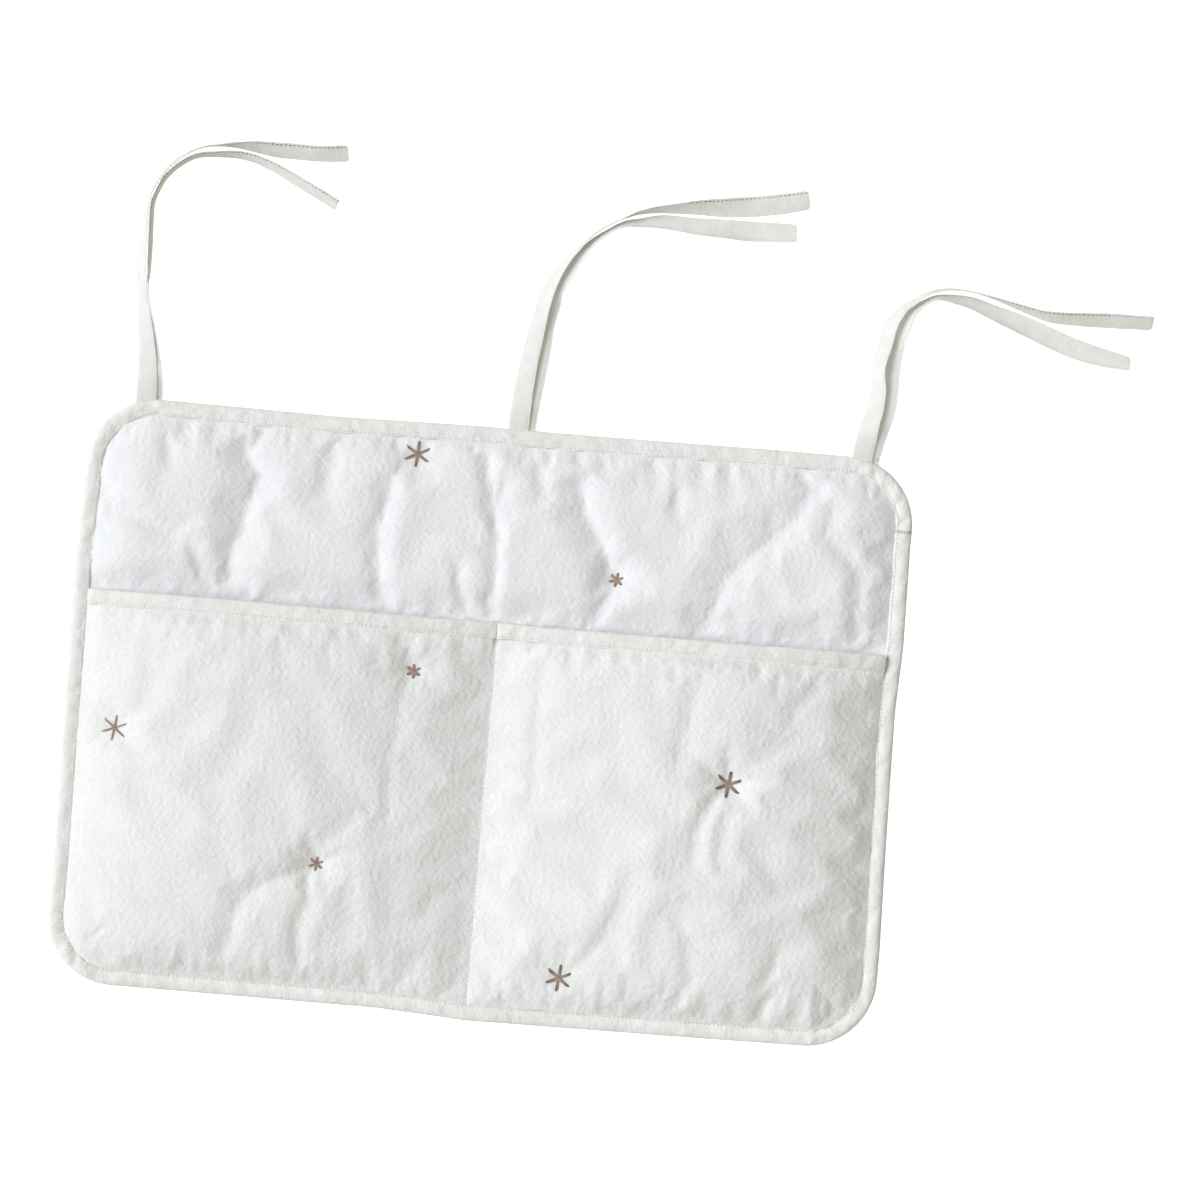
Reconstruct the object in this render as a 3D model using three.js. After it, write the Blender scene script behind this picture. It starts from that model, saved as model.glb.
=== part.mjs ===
// Padded cotton bedside caddy with two pockets and six ties, lying on its back with its ties spread out.
// Millimetres. X runs across the panel, Y towards the ties and Z up. The origin is under the panel's middle.

import * as THREE from "three";

// Panel outline
const panelWidth = 600;
const panelHeight = 425;
const cornerRadius = 50;

// Cloth, thread and the air between layers that lie on each other
const cloth = 0.6;
const layerGap = 0.3;
const seamGap = 0.3;
const pressedWadding = 0.5;

// Edge binding: doubled tape folded round the raw edges
const bindingWidth = 12;
const bindingSkin = 0.8;
const bindingRound = 1.6;
const bindingRoundShares = [[0.3, 0.3], [0, 1]];
const rawEdgeInset = 2;
const cornerSteps = 10;

// Back panel
const backCrown = 5; // how far the padding above the pockets stands over its pressed level
const bedRise = 1.6; // how far the padding behind the pockets stands over the sewn edge
const liningStep = 2.5; // run over which the lining drops off the binding to the ground
const crownRun = 34;
const crownAboveMouth = 42;

// Pockets
const mouthHeight = 284.5; // from the bottom edge up to the mouth
const mouthBindingWidth = 11.5;
const mouthRamp = 8;
const dividerOffset = 6; // of the divider seam to the right of the middle
const dividerWidth = 3;
const pocketRoom = 9.6; // depth of an empty pocket at its middle
const roomRun = 40;
const pocketPad = 4.6; // how far the padding of a pocket front swells
const padRun = 34;

// Sewn stars
const largeStar = 20;
const smallStar = 11;
const threadWidth = 1.9;
const threadThickness = 0.9;
const threadGap = 0.35;
const rayWaist = 2.6; // from the middle to the notch between two rays
const tuftRadius = 30;
const starRays = 6;
const threadCheckShares = [0.25, 0.5, 0.75, 1]; // of a ray, where its thread has to clear the cloth
const starTurn = 24; // degrees from the X axis to the first ray

// Ties
const tieWidth = 15;
const tieThickness = 1;
const tieRise = 1.5; // middle of the rear tie above the ground where it is sewn in
const tieGap = 0.9; // between the rear and the front tie where both are sewn in
const tieRootShares = [-0.86, 0.037, 0.873]; // of half the panel's width
const stationsPerStep = 2;
const stackedRows = 3; // first points of a tie's route at which the front tie lies on the rear one

// Grid of the padded sheets
const gridStep = 36;
const pocketGridStep = 30;
const closestLines = 4;
const cornerLineShares = [0, 0.3, 0.6];

const halfWidth = panelWidth / 2;
const halfHeight = panelHeight / 2;
const mouthY = mouthHeight - halfHeight;
const innerInset = bindingWidth + seamGap;
const liningEdge = bindingSkin + layerGap;
const stack = 2 * (cloth + layerGap) + pressedWadding; // lining, wadding and face pressed flat
const edgeTop = liningEdge + stack;
const bindingHeight = edgeTop + layerGap + bindingSkin;
const mouthLift = bindingSkin + layerGap;

// Each star's place as shares of the room on its cloth, from the left and from the bottom, and its size
const starShares = {
  star_back_left: [0.391, 0.989, largeStar],
  star_back_right: [0.651, 0.278, smallStar],
  star_left_upper: [0.823, 0.871, smallStar],
  star_left_side: [0.047, 0.65, largeStar],
  star_left_lower: [0.613, 0.316, smallStar],
  star_right_upper: [0.632, 0.63, largeStar],
  star_right_lower: [0.205, 0.037, largeStar],
};

// The stars on one cloth, which is the back above the mouth or the left or right pocket front
function starsOn(clothName, { left, right, bottom, top }) {
  const sewn = Object.entries(starShares).filter(([name]) => name.startsWith(`star_${clothName}`));
  return sewn.map(([name, [acrossShare, upShare, size]]) => {
    const radius = size / 2;
    const x = THREE.MathUtils.lerp(left + radius, right - radius, acrossShare);
    const y = THREE.MathUtils.lerp(bottom + radius, top - radius, upShare);
    return { name, x, y, radius };
  });
}
const backStars = starsOn("back", {
  left: -halfWidth, right: halfWidth, bottom: mouthY, top: halfHeight - innerInset,
});

// Rise of a padded edge over a run: steep at the seam, level at the end
function swell(distance, run) {
  const share = THREE.MathUtils.clamp(distance / run, 0, 1);
  return Math.sqrt(1 - (1 - share) ** 2);
}

// 0 at a sewn star, 1 past its tuft
function tufted(sewn, x, y) {
  const nearest = Math.min(...sewn.map((star) => Math.hypot(x - star.x, y - star.y)));
  return Math.sin((Math.min(nearest / tuftRadius, 1) * Math.PI) / 2);
}

function panelInset(u, v) {
  return Math.min(halfWidth - Math.abs(u), halfHeight - Math.abs(v));
}

// Heights of the back panel. u and v are places on the square grid, x and y the same places in the panel.
function liningBottom(u, v) {
  const share = (panelInset(u, v) - innerInset) / liningStep;
  return liningEdge * (1 - THREE.MathUtils.clamp(share, 0, 1));
}

function bedTop(u, v) {
  const share = (panelInset(u, v) - innerInset) / (cornerRadius - innerInset);
  return edgeTop + bedRise * THREE.MathUtils.clamp(share, 0, 1);
}

function backTop(u, v, x, y) {
  const aboveMouth = THREE.MathUtils.smoothstep(v, mouthY + seamGap, mouthY + crownAboveMouth);
  const crown = backCrown * swell(panelInset(u, v) - innerInset, crownRun) * aboveMouth;
  return bedTop(u, v) + crown * tufted(backStars, x, y);
}

// A frame is the square outline that a sheet's grid fills, with the corners that are round and their radius
const backFrame = {
  left: rawEdgeInset - halfWidth,
  right: halfWidth - rawEdgeInset,
  bottom: rawEdgeInset - halfHeight,
  top: halfHeight - rawEdgeInset,
  roundCorners: ["bottomLeft", "bottomRight", "topLeft", "topRight"],
  radius: cornerRadius - rawEdgeInset,
};

function pocketFrame(side) {
  const dividerX = dividerOffset + (side * dividerWidth) / 2 + side * seamGap;
  const outerX = side * (halfWidth - innerInset);
  return {
    left: Math.min(dividerX, outerX),
    right: Math.max(dividerX, outerX),
    bottom: innerInset - halfHeight,
    top: mouthY - bindingSkin - layerGap,
    roundCorners: [side < 0 ? "bottomLeft" : "bottomRight"],
    radius: cornerRadius - innerInset,
  };
}

// Bends the grid's lines into arcs round each round corner, so that lines keep their distance from the edge
function bendCorner(frame, u, v) {
  const isRight = u > (frame.left + frame.right) / 2;
  const isTop = v > (frame.bottom + frame.top) / 2;
  const corner = `${isTop ? "top" : "bottom"}${isRight ? "Right" : "Left"}`;
  if (!frame.roundCorners.includes(corner)) return [u, v];
  const centreX = isRight ? frame.right - frame.radius : frame.left + frame.radius;
  const centreY = isTop ? frame.top - frame.radius : frame.bottom + frame.radius;
  const outX = (u - centreX) * (isRight ? 1 : -1);
  const outY = (v - centreY) * (isTop ? 1 : -1);
  if (outX <= 0 || outY <= 0) return [u, v];
  const scale = Math.max(outX, outY) / Math.hypot(outX, outY);
  return [centreX + (u - centreX) * scale, centreY + (v - centreY) * scale];
}

// Grid lines from low to high: the fixed ones, the wished ones that lie clear of them, and even steps between
function gridLines(low, high, fixed, wished, step) {
  const lines = [low, high];
  const addFree = (places, gap) => {
    for (const place of places) {
      const isFree = lines.every((line) => Math.abs(line - place) > gap);
      if (isFree && place > low && place < high) lines.push(place);
    }
  };
  addFree(fixed, layerGap);
  addFree(wished, closestLines);
  lines.sort((a, b) => a - b);
  const filled = [low];
  for (const line of lines.slice(1)) {
    const start = filled.at(-1);
    const count = Math.max(1, Math.round((line - start) / step));
    for (let i = 1; i <= count; i += 1) {
      filled.push(start + ((line - start) * i) / count);
    }
  }
  return filled;
}

// A closed sheet between two height functions over a grid
function sheetGeometry(frame, us, vs, bottom, top) {
  const columns = us.length;
  const positions = [];
  for (const height of [top, bottom]) {
    for (const v of vs) {
      for (const u of us) {
        const [x, y] = bendCorner(frame, u, v);
        positions.push(x, y, height(u, v, x, y));
      }
    }
  }
  const under = columns * vs.length;
  const indices = [];
  for (let row = 0; row < vs.length - 1; row += 1) {
    for (let column = 0; column < columns - 1; column += 1) {
      const a = row * columns + column;
      const [b, c, d] = [a + 1, a + columns + 1, a + columns];
      const isOne = isOneDiagonal(frame, us[column], vs[row]);
      const halves = isOne ? [[a, b, c], [a, c, d]] : [[a, b, d], [b, c, d]];
      for (const [p, q, r] of halves) {
        indices.push(p, q, r, p + under, r + under, q + under);
      }
    }
  }
  const lastColumn = columns - 1;
  const lastRow = vs.length - 1;
  const rim = [
    ...us.slice(1).map((_, i) => i),
    ...vs.slice(1).map((_, i) => i * columns + lastColumn),
    ...us.slice(1).map((_, i) => lastRow * columns + lastColumn - i),
    ...vs.slice(1).map((_, i) => (lastRow - i) * columns),
  ];
  rim.forEach((a, i) => {
    const b = rim[(i + 1) % rim.length];
    indices.push(a, a + under, b + under, a, b + under, b);
  });
  return meshGeometry(positions, indices);
}

// Which way a grid cell is cut in two, so that cells at round corners are cut towards the corner
function isOneDiagonal(frame, u, v) {
  const isRight = u > (frame.left + frame.right) / 2;
  const isTop = v > (frame.bottom + frame.top) / 2;
  return isRight === isTop;
}

function meshGeometry(positions, indices) {
  const geometry = new THREE.BufferGeometry();
  geometry.setAttribute("position", new THREE.Float32BufferAttribute(positions, 3));
  geometry.setIndex(indices);
  geometry.computeVertexNormals();
  return geometry;
}

// Height of a gridded surface at a place, straight across each of its triangles
function surfaceHeight(frame, us, vs, height, x, y) {
  const column = Math.max(0, us.findIndex((u) => u > x) - 1);
  const row = Math.max(0, vs.findIndex((v) => v > y) - 1);
  const [u0, u1, v0, v1] = [us[column], us[column + 1], vs[row], vs[row + 1]];
  const [s, t] = [(x - u0) / (u1 - u0), (y - v0) / (v1 - v0)];
  const [a, b, c, d] = [[u0, v0], [u1, v0], [u1, v1], [u0, v1]].map(([u, v]) => height(u, v, u, v));
  if (!isOneDiagonal(frame, u0, v0)) {
    return s + t < 1 ? a + (b - a) * s + (d - a) * t : c + (d - c) * (1 - s) + (b - c) * (1 - t);
  }
  return s > t ? a + (b - a) * s + (c - b) * t : a + (c - d) * s + (d - a) * t;
}

const whiteCotton = (color) => new THREE.MeshStandardMaterial({ color, roughness: 0.9, metalness: 0 });
const faceCotton = whiteCotton(0xf0f1f3);
const pocketCotton = whiteCotton(0xf1f0ec);
const bindingCotton = whiteCotton(0xedeae3);
const liningCotton = whiteCotton(0xeceae5);
const fleece = whiteCotton(0xf8f8f6);
const starThread = new THREE.MeshStandardMaterial({ color: 0x8f7d72, roughness: 0.6, metalness: 0 });

const caddy = new THREE.Group();

function addPart(name, geometry, material) {
  const mesh = new THREE.Mesh(geometry, material);
  mesh.name = name;
  caddy.add(mesh);
}

// Lines that every sheet of the back panel has near its edges, from an edge at low to one at high
function edgeLines(low, high, inward) {
  const liningInset = innerInset + liningStep;
  const corner = cornerLineShares.map((share) => THREE.MathUtils.lerp(cornerRadius, liningInset, share));
  const insets = [innerInset, liningInset, ...corner].map((inset) => inset - inward);
  return insets.flatMap((inset) => [low + inset, high - inset]);
}

function addBackPanel() {
  const { left, right, bottom, top } = backFrame;
  const acrossEdges = edgeLines(left, right, rawEdgeInset);
  const upEdges = edgeLines(bottom, top, rawEdgeInset);
  const mouthLines = [mouthY + seamGap, mouthY + crownAboveMouth];
  const acrossLines = [...acrossEdges, ...backStars.map((star) => star.x)];
  const upLines = [...upEdges, ...mouthLines, ...backStars.map((star) => star.y)];
  const us = gridLines(left, right, acrossLines, [dividerOffset], gridStep);
  const vs = gridLines(bottom, top, upLines, [], gridStep);
  const liningTop = (u, v) => liningBottom(u, v) + cloth;
  const faceBottom = (u, v, x, y) => backTop(u, v, x, y) - cloth;
  const waddingTop = (u, v, x, y) => faceBottom(u, v, x, y) - layerGap;
  const waddingBottom = (u, v) => liningTop(u, v) + layerGap;

  const plainUs = gridLines(left, right, acrossEdges, [], panelWidth);
  const plainVs = gridLines(bottom, top, upEdges, [], panelWidth);
  addPart("back_lining", sheetGeometry(backFrame, plainUs, plainVs, liningBottom, liningTop), liningCotton);
  addPart("back_wadding", sheetGeometry(backFrame, us, vs, waddingBottom, waddingTop), fleece);
  addPart("back_face", sheetGeometry(backFrame, us, vs, faceBottom, backTop), faceCotton);
  for (const star of backStars) addStar(star, (x, y) => surfaceHeight(backFrame, us, vs, backTop, x, y));
}

// One side's padded pocket front with its mouth binding. side is -1 for the left and 1 for the right.
function addPocket(side) {
  const sideName = side < 0 ? "left" : "right";
  const frame = pocketFrame(side);
  const sewn = starsOn(sideName, frame);
  const pressedY = mouthY - mouthBindingWidth - layerGap;
  const rampY = pressedY - mouthRamp;
  const sideInset = (u, v) => Math.min(u - frame.left, frame.right - u, v - frame.bottom);
  const liningUnder = (u, v) => {
    const lift = mouthLift * THREE.MathUtils.clamp((v - rampY) / mouthRamp, 0, 1);
    return bedTop(u, v) + layerGap + pocketRoom * swell(sideInset(u, v), roomRun) + lift;
  };
  const liningOver = (u, v) => liningUnder(u, v) + cloth;
  const waddingUnder = (u, v) => liningOver(u, v) + layerGap;
  const waddingOver = (u, v, x, y) => {
    const inset = Math.min(sideInset(u, v), pressedY - v);
    return waddingUnder(u, v) + pressedWadding + pocketPad * swell(inset, padRun) * tufted(sewn, x, y);
  };
  const faceUnder = (u, v, x, y) => waddingOver(u, v, x, y) + layerGap;
  const faceOver = (u, v, x, y) => faceUnder(u, v, x, y) + cloth;

  const insets = [...cornerLineShares.map((share) => frame.radius * (1 - share)), mouthRamp];
  const acrossEdges = insets.flatMap((inset) => [frame.left + inset, frame.right - inset]);
  const upEdges = insets.map((inset) => frame.bottom + inset);
  const us = gridLines(frame.left, frame.right, sewn.map((star) => star.x), acrossEdges, pocketGridStep);
  const vs = gridLines(
    frame.bottom, frame.top, [pressedY, rampY, ...sewn.map((star) => star.y)], upEdges, pocketGridStep,
  );
  addPart(`${sideName}_pocket_lining`, sheetGeometry(frame, us, vs, liningUnder, liningOver), liningCotton);
  addPart(`${sideName}_pocket_wadding`, sheetGeometry(frame, us, vs, waddingUnder, waddingOver), fleece);
  addPart(`${sideName}_pocket_face`, sheetGeometry(frame, us, vs, faceUnder, faceOver), pocketCotton);
  addMouthBinding(`${sideName}_mouth_binding`, us, liningUnder);
  for (const star of sewn) addStar(star, (x, y) => surfaceHeight(frame, us, vs, faceOver, x, y));
}

// Doubled tape folded over the three pressed layers at a pocket's mouth
function addMouthBinding(name, us, layersUnder) {
  const outer = { near: mouthY - mouthBindingWidth, far: mouthY, low: -mouthLift, high: stack + mouthLift };
  const inner = { far: mouthY - bindingSkin, low: outer.low + bindingSkin, high: outer.high - bindingSkin };
  const profile = [
    [outer.near, outer.low], [outer.far, outer.low], [outer.far, outer.high], [outer.near, outer.high],
    [outer.near, inner.high], [inner.far, inner.high], [inner.far, inner.low], [outer.near, inner.low],
  ];
  const rings = us.map((u) => profile.map(([y, rise]) => [u, y, layersUnder(u, mouthY) + rise]));
  addPart(name, openSweep(rings, profile), bindingCotton);
}

// A solid through a row of rings. profile is a ring's outline in its own plane, and closes the two ends.
function openSweep(rings, profile) {
  const indices = sweepFaces(rings, rings.length - 1);
  const last = (rings.length - 1) * profile.length;
  const outline = profile.map(([across, up]) => new THREE.Vector2(across, up));
  for (const [a, b, c] of THREE.ShapeUtils.triangulateShape(outline, [])) {
    indices.push(a, c, b, last + a, last + b, last + c);
  }
  return meshGeometry(rings.flat(2), indices);
}

// Faces from each ring to the next. As many steps as rings join the last ring to the first.
function sweepFaces(rings, steps) {
  const count = rings[0].length;
  const indices = [];
  for (let step = 0; step < steps; step += 1) {
    const near = step * count;
    const far = ((step + 1) % rings.length) * count;
    for (let i = 0; i < count; i += 1) {
      const j = (i + 1) % count;
      indices.push(near + i, near + j, far + j, near + i, far + j, far + i);
    }
  }
  return indices;
}

// Bias tape folded round the whole edge: a U profile swept along the rounded outline
function addEdgeBinding() {
  const rounding = bindingRoundShares.map(([insetShare, riseShare]) => [
    bindingRound * insetShare, bindingRound * riseShare,
  ]);
  const roundedTop = rounding.map(([inset, drop]) => [inset, bindingHeight - drop]);
  const roundedBottom = [...rounding].reverse();
  const profile = [
    [bindingWidth, 0], [bindingWidth, bindingSkin], [bindingSkin, bindingSkin],
    [bindingSkin, bindingHeight - bindingSkin], [bindingWidth, bindingHeight - bindingSkin],
    [bindingWidth, bindingHeight], [bindingRound, bindingHeight], ...roundedTop, ...roundedBottom,
    [bindingRound, 0],
  ];
  const rings = roundedOutline().map(({ x, y, outX, outY }) => (
    profile.map(([inset, z]) => [x - outX * inset, y - outY * inset, z])
  ));
  addPart("edge_binding", meshGeometry(rings.flat(2), sweepFaces(rings, rings.length)), bindingCotton);
}

// Points round the panel's outline with the way out at each, anticlockwise from the right side
function roundedOutline() {
  const points = [];
  const corners = [[1, 1], [-1, 1], [-1, -1], [1, -1]];
  corners.forEach(([sideX, sideY], quarter) => {
    const centreX = sideX * (halfWidth - cornerRadius);
    const centreY = sideY * (halfHeight - cornerRadius);
    for (let i = 0; i <= cornerSteps; i += 1) {
      const angle = ((quarter + i / cornerSteps) * Math.PI) / 2;
      const [outX, outY] = [Math.cos(angle), Math.sin(angle)];
      points.push({ x: centreX + cornerRadius * outX, y: centreY + cornerRadius * outY, outX, outY });
    }
  });
  return points;
}

// The pocket layers pressed flat along the seam that parts the two pockets
function addDivider() {
  const low = innerInset - halfHeight;
  const insets = [0, cornerRadius - innerInset];
  const vs = [...insets.map((inset) => low + inset), mouthY];
  const us = [dividerOffset - dividerWidth / 2, dividerOffset + dividerWidth / 2];
  const frame = { left: us[0], right: us[1], bottom: low, top: mouthY, roundCorners: [] };
  const under = (u, v) => bedTop(u, v) + layerGap;
  const over = (u, v) => under(u, v) + stack;
  addPart("divider_seam", sheetGeometry(frame, us, vs, under, over), pocketCotton);
}

// Six thread rays that lie in the tuft they pull down
function addStar(star, height) {
  const outline = [];
  for (let ray = 0; ray < starRays; ray += 1) {
    const angle = THREE.MathUtils.degToRad(starTurn) + (ray * 2 * Math.PI) / starRays;
    const notch = angle + Math.PI / starRays;
    const [along, aside] = [[Math.cos(angle), Math.sin(angle)], [-Math.sin(angle), Math.cos(angle)]];
    for (const side of [-1, 1]) {
      const [reach, shift] = [star.radius, (side * threadWidth) / 2];
      outline.push([along[0] * reach + aside[0] * shift, along[1] * reach + aside[1] * shift]);
    }
    outline.push([Math.cos(notch) * rayWaist, Math.sin(notch) * rayWaist]);
  }
  const low = height(star.x, star.y) + threadGap;
  const clearHeight = ([x, y]) => Math.max(...threadCheckShares.map((share) => (
    low + (height(star.x + x * share, star.y + y * share) + threadGap - low) / share
  )));
  const bottoms = [[star.x, star.y, low], ...outline.map((place) => (
    [star.x + place[0], star.y + place[1], clearHeight(place)]
  ))];
  const positions = [...bottoms, ...bottoms.map(([x, y, z]) => [x, y, z + threadThickness])].flat();
  const count = outline.length;
  const over = count + 1;
  const indices = [];
  for (let i = 0; i < count; i += 1) {
    const [a, b] = [i + 1, ((i + 1) % count) + 1];
    indices.push(0, b, a, over, over + a, over + b, a, b, over + b, a, over + b, over + a);
  }
  addPart(star.name, meshGeometry(positions, indices), starThread);
}

// Routes of the ties from where each is sewn in: across, away from the panel, and turn of the tape in degrees.
// At turn 0 the tape lies flat, at 90 it stands on its left edge, and past 90 it leans over to the left.
const tieRoutes = {
  left_front: [
    [-3, 0, 0], [-3.6, 5, 8], [-5, 14, 40], [-7, 33, 60], [-10, 53, 67], [-12, 70, 65], [-13, 88, 65],
    [-14, 107, 65], [-15, 127, 66], [-14, 141, 70], [-11, 151, 74], [-5, 162, 76], [4, 172, 79],
    [17, 181, 82], [29, 185, 86], [45, 187, 97], [61, 187, 116], [76, 186, 128], [89, 186, 132],
    [109, 186, 132], [128, 188, 136],
  ],
  left_rear: [
    [4, 0, 0], [3, 5, 2], [1, 14, 14], [-2, 33, 36], [-6, 53, 57], [-8, 70, 76], [-8.5, 88, 82], [-9, 107, 83],
    [-10, 127, 83], [-10, 141, 82], [-7, 150, 82], [-2, 160, 80], [6, 169, 79], [19, 177, 77], [33, 180, 75],
    [48, 181, 73], [62, 179, 70], [74, 175, 62], [89, 168, 58], [105, 160, 60], [123, 151, 65],
  ],
  centre_front: [
    [-2, 0, 0], [-1.8, 6, 4], [-1.5, 13, 11], [-1, 21, 23], [1, 44, 34], [4, 65, 40], [6, 77, 46], [8, 88, 48],
    [11, 99, 52], [16, 112, 57], [23, 124, 66], [30, 133, 75], [38, 142, 80], [49, 151, 82], [61, 158, 86],
    [75, 164, 96], [89, 167, 106], [112, 170, 126], [133, 172, 148], [155, 175, 170], [177, 179, 164],
    [194, 183, 150],
  ],
  centre_rear: [
    [3, 0, 0], [3.4, 6, 0], [4, 13, 3], [5, 21, 7], [8, 45, 16], [10, 63, 18], [11, 77, 19], [14, 91, 22],
    [16, 101, 32], [21, 110, 43], [28, 122, 52], [34, 131, 61], [42, 140, 67], [52, 148, 72], [63, 154, 68],
    [75, 156, 58], [90, 158, 42], [112, 157, 30], [133, 157, 18], [156, 157, 6], [187, 158, 24],
  ],
  right_front: [
    [-3, 0, 0], [-2.4, 6, 4], [-1.3, 13, 13], [0, 21, 28], [3, 36, 38], [4, 50, 46], [3, 65, 54], [6, 82, 50],
    [9, 96, 53], [15, 108, 66], [26, 117, 74], [35, 123, 78], [44, 126, 80], [55, 127, 82], [68, 126, 85],
    [83, 123, 90], [97, 119, 98], [113, 115, 107], [124, 113, 116], [145, 113, 124], [167, 114, 130],
    [198, 115, 128],
  ],
  right_rear: [
    [2, 0, 0], [3.4, 6, 0], [5, 13, 3], [7, 21, 8], [11, 36, 24], [12, 50, 30], [12, 63, 28], [14, 81, 38],
    [18, 94, 52], [24, 108, 64], [33, 116, 72], [41, 120, 72], [53, 120, 60], [67, 118, 47], [82, 113, 35],
    [98, 108, 22], [113, 103, 8], [129, 97, 2], [144, 92, 4], [160, 88, 18], [184, 84, 44],
  ],
};

// Height of the middle of a tape that rests on the ground at a turn
function restingHeight(turn) {
  return (tieWidth / 2) * Math.sin(turn) + (tieThickness / 2) * Math.abs(Math.cos(turn));
}

function addTie(name, rootX, route, rootHeight) {
  const rootY = halfHeight + seamGap;
  const turns = route.map((row) => THREE.MathUtils.degToRad(row[2]));
  const points = route.map(([across, away], i) => {
    const least = i < stackedRows ? rootHeight : 0;
    return new THREE.Vector3(rootX + across, rootY + away, Math.max(restingHeight(turns[i]), least));
  });
  const curve = new THREE.CatmullRomCurve3(points, false, "centripetal");
  const steps = (points.length - 1) * stationsPerStep;
  const corners = [[-1, -1], [1, -1], [1, 1], [-1, 1]];
  const section = corners.map(([across, up]) => [(across * tieWidth) / 2, (up * tieThickness) / 2]);
  const rings = [];
  for (let step = 0; step <= steps; step += 1) {
    const share = step / steps;
    const middle = curve.getPoint(share);
    const tangent = curve.getTangent(share);
    const before = Math.min(Math.floor(step / stationsPerStep), route.length - 2);
    const turn = THREE.MathUtils.lerp(turns[before], turns[before + 1], step / stationsPerStep - before);
    middle.z = Math.max(middle.z, restingHeight(turn));
    const left = new THREE.Vector3(-tangent.y, step === 0 ? 0 : tangent.x, 0).normalize(); // sewn in square
    const wide = left.clone().multiplyScalar(Math.cos(turn)).setZ(-Math.sin(turn));
    const thick = left.clone().multiplyScalar(Math.sin(turn)).setZ(Math.cos(turn));
    rings.push(section.map(([sideways, upward]) => (
      middle.clone().addScaledVector(wide, sideways).addScaledVector(thick, upward).toArray()
    )));
  }
  addPart(name, openSweep(rings, section), bindingCotton);
}

function addTies() {
  ["left", "centre", "right"].forEach((place, i) => {
    const rootX = tieRootShares[i] * halfWidth;
    addTie(`${place}_tie_front`, rootX, tieRoutes[`${place}_front`], tieRise + tieThickness + tieGap);
    addTie(`${place}_tie_rear`, rootX, tieRoutes[`${place}_rear`], tieRise);
  });
}

addBackPanel();
addEdgeBinding();
addDivider();
addPocket(-1);
addPocket(1);
addTies();

export default caddy;
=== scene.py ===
# Cotton bedside caddy on its back: padded panel, two pockets, sewn stars and three pairs of tie tapes.
# Sizes are in millimetres and become metres where a mesh is made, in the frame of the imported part.
import math
import bpy
import numpy as np
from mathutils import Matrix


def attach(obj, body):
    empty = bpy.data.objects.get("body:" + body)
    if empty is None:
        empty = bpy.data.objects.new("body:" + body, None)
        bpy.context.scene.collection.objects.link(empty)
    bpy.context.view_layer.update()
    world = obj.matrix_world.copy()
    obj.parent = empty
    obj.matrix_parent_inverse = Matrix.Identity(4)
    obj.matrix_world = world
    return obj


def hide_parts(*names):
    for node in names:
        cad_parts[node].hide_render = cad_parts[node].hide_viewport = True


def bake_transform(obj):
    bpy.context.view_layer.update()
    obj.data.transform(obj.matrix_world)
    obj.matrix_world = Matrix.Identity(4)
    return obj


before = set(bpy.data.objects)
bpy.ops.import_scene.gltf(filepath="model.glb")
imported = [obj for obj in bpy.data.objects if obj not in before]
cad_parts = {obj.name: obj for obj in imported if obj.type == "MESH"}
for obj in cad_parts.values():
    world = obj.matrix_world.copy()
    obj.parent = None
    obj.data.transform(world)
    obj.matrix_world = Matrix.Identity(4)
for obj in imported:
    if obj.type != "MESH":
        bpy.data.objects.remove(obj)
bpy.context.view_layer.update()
mm = 0.001
print("frame loaded")

# Camera: straight above the middle of the picture, turned so that the panel lies turned the other way. Its
# place is in metres, its turn in degrees and its lens and sensor in millimetres.
cameraLook = {"place": (0.0785, 0.0946, 2.415), "turn": 4.86, "lens": 100, "sensor": 36}
cameraData = bpy.data.cameras.new("studioCamera")
cameraData.lens = cameraLook["lens"]
cameraData.sensor_width = cameraLook["sensor"]
camera = bpy.data.objects.new("studioCamera", cameraData)
camera.location = cameraLook["place"]
camera.rotation_euler = (0, 0, math.radians(cameraLook["turn"]))
bpy.context.scene.collection.objects.link(camera)
bpy.context.scene.camera = camera
bpy.context.scene.view_settings.view_transform = "Standard"  # white cloth stays white


# Small tools for heights
def smooth(low, high, value):
    share = np.clip((value - low) / (high - low), 0, 1)
    return share * share * (3 - 2 * share)


def swell(distance, run):  # steep at a seam, level at the end of the run
    share = np.clip(np.asarray(distance, float) / run, 0, 1)
    return np.sqrt(1 - (1 - share) ** 2)


def easeUp(distance, run):  # slopes gently from a seam and is level at the end of the run
    share = np.clip(np.asarray(distance, float) / run, 0, 1)
    return share * (2 - share)


def softNoise(x, y, size, seed):  # smooth random hills from -1 to 1, about size across
    tableSide = 64
    table = np.random.default_rng(seed).uniform(-1, 1, (tableSide, tableSide))
    gridX, gridY = np.broadcast_arrays(np.asarray(x, float) / size, np.asarray(y, float) / size)
    column, row = np.floor(gridX).astype(int), np.floor(gridY).astype(int)
    partX, partY = gridX - column, gridY - row
    easeX = partX ** 3 * (partX * (partX * 6 - 15) + 10)
    easeY = partY ** 3 * (partY * (partY * 6 - 15) + 10)

    def pick(stepX, stepY):
        return table[(column + stepX) % tableSide, (row + stepY) % tableSide]

    low = pick(0, 0) * (1 - easeX) + pick(1, 0) * easeX
    high = pick(0, 1) * (1 - easeX) + pick(1, 1) * easeX
    return low * (1 - easeY) + high * easeY


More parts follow.
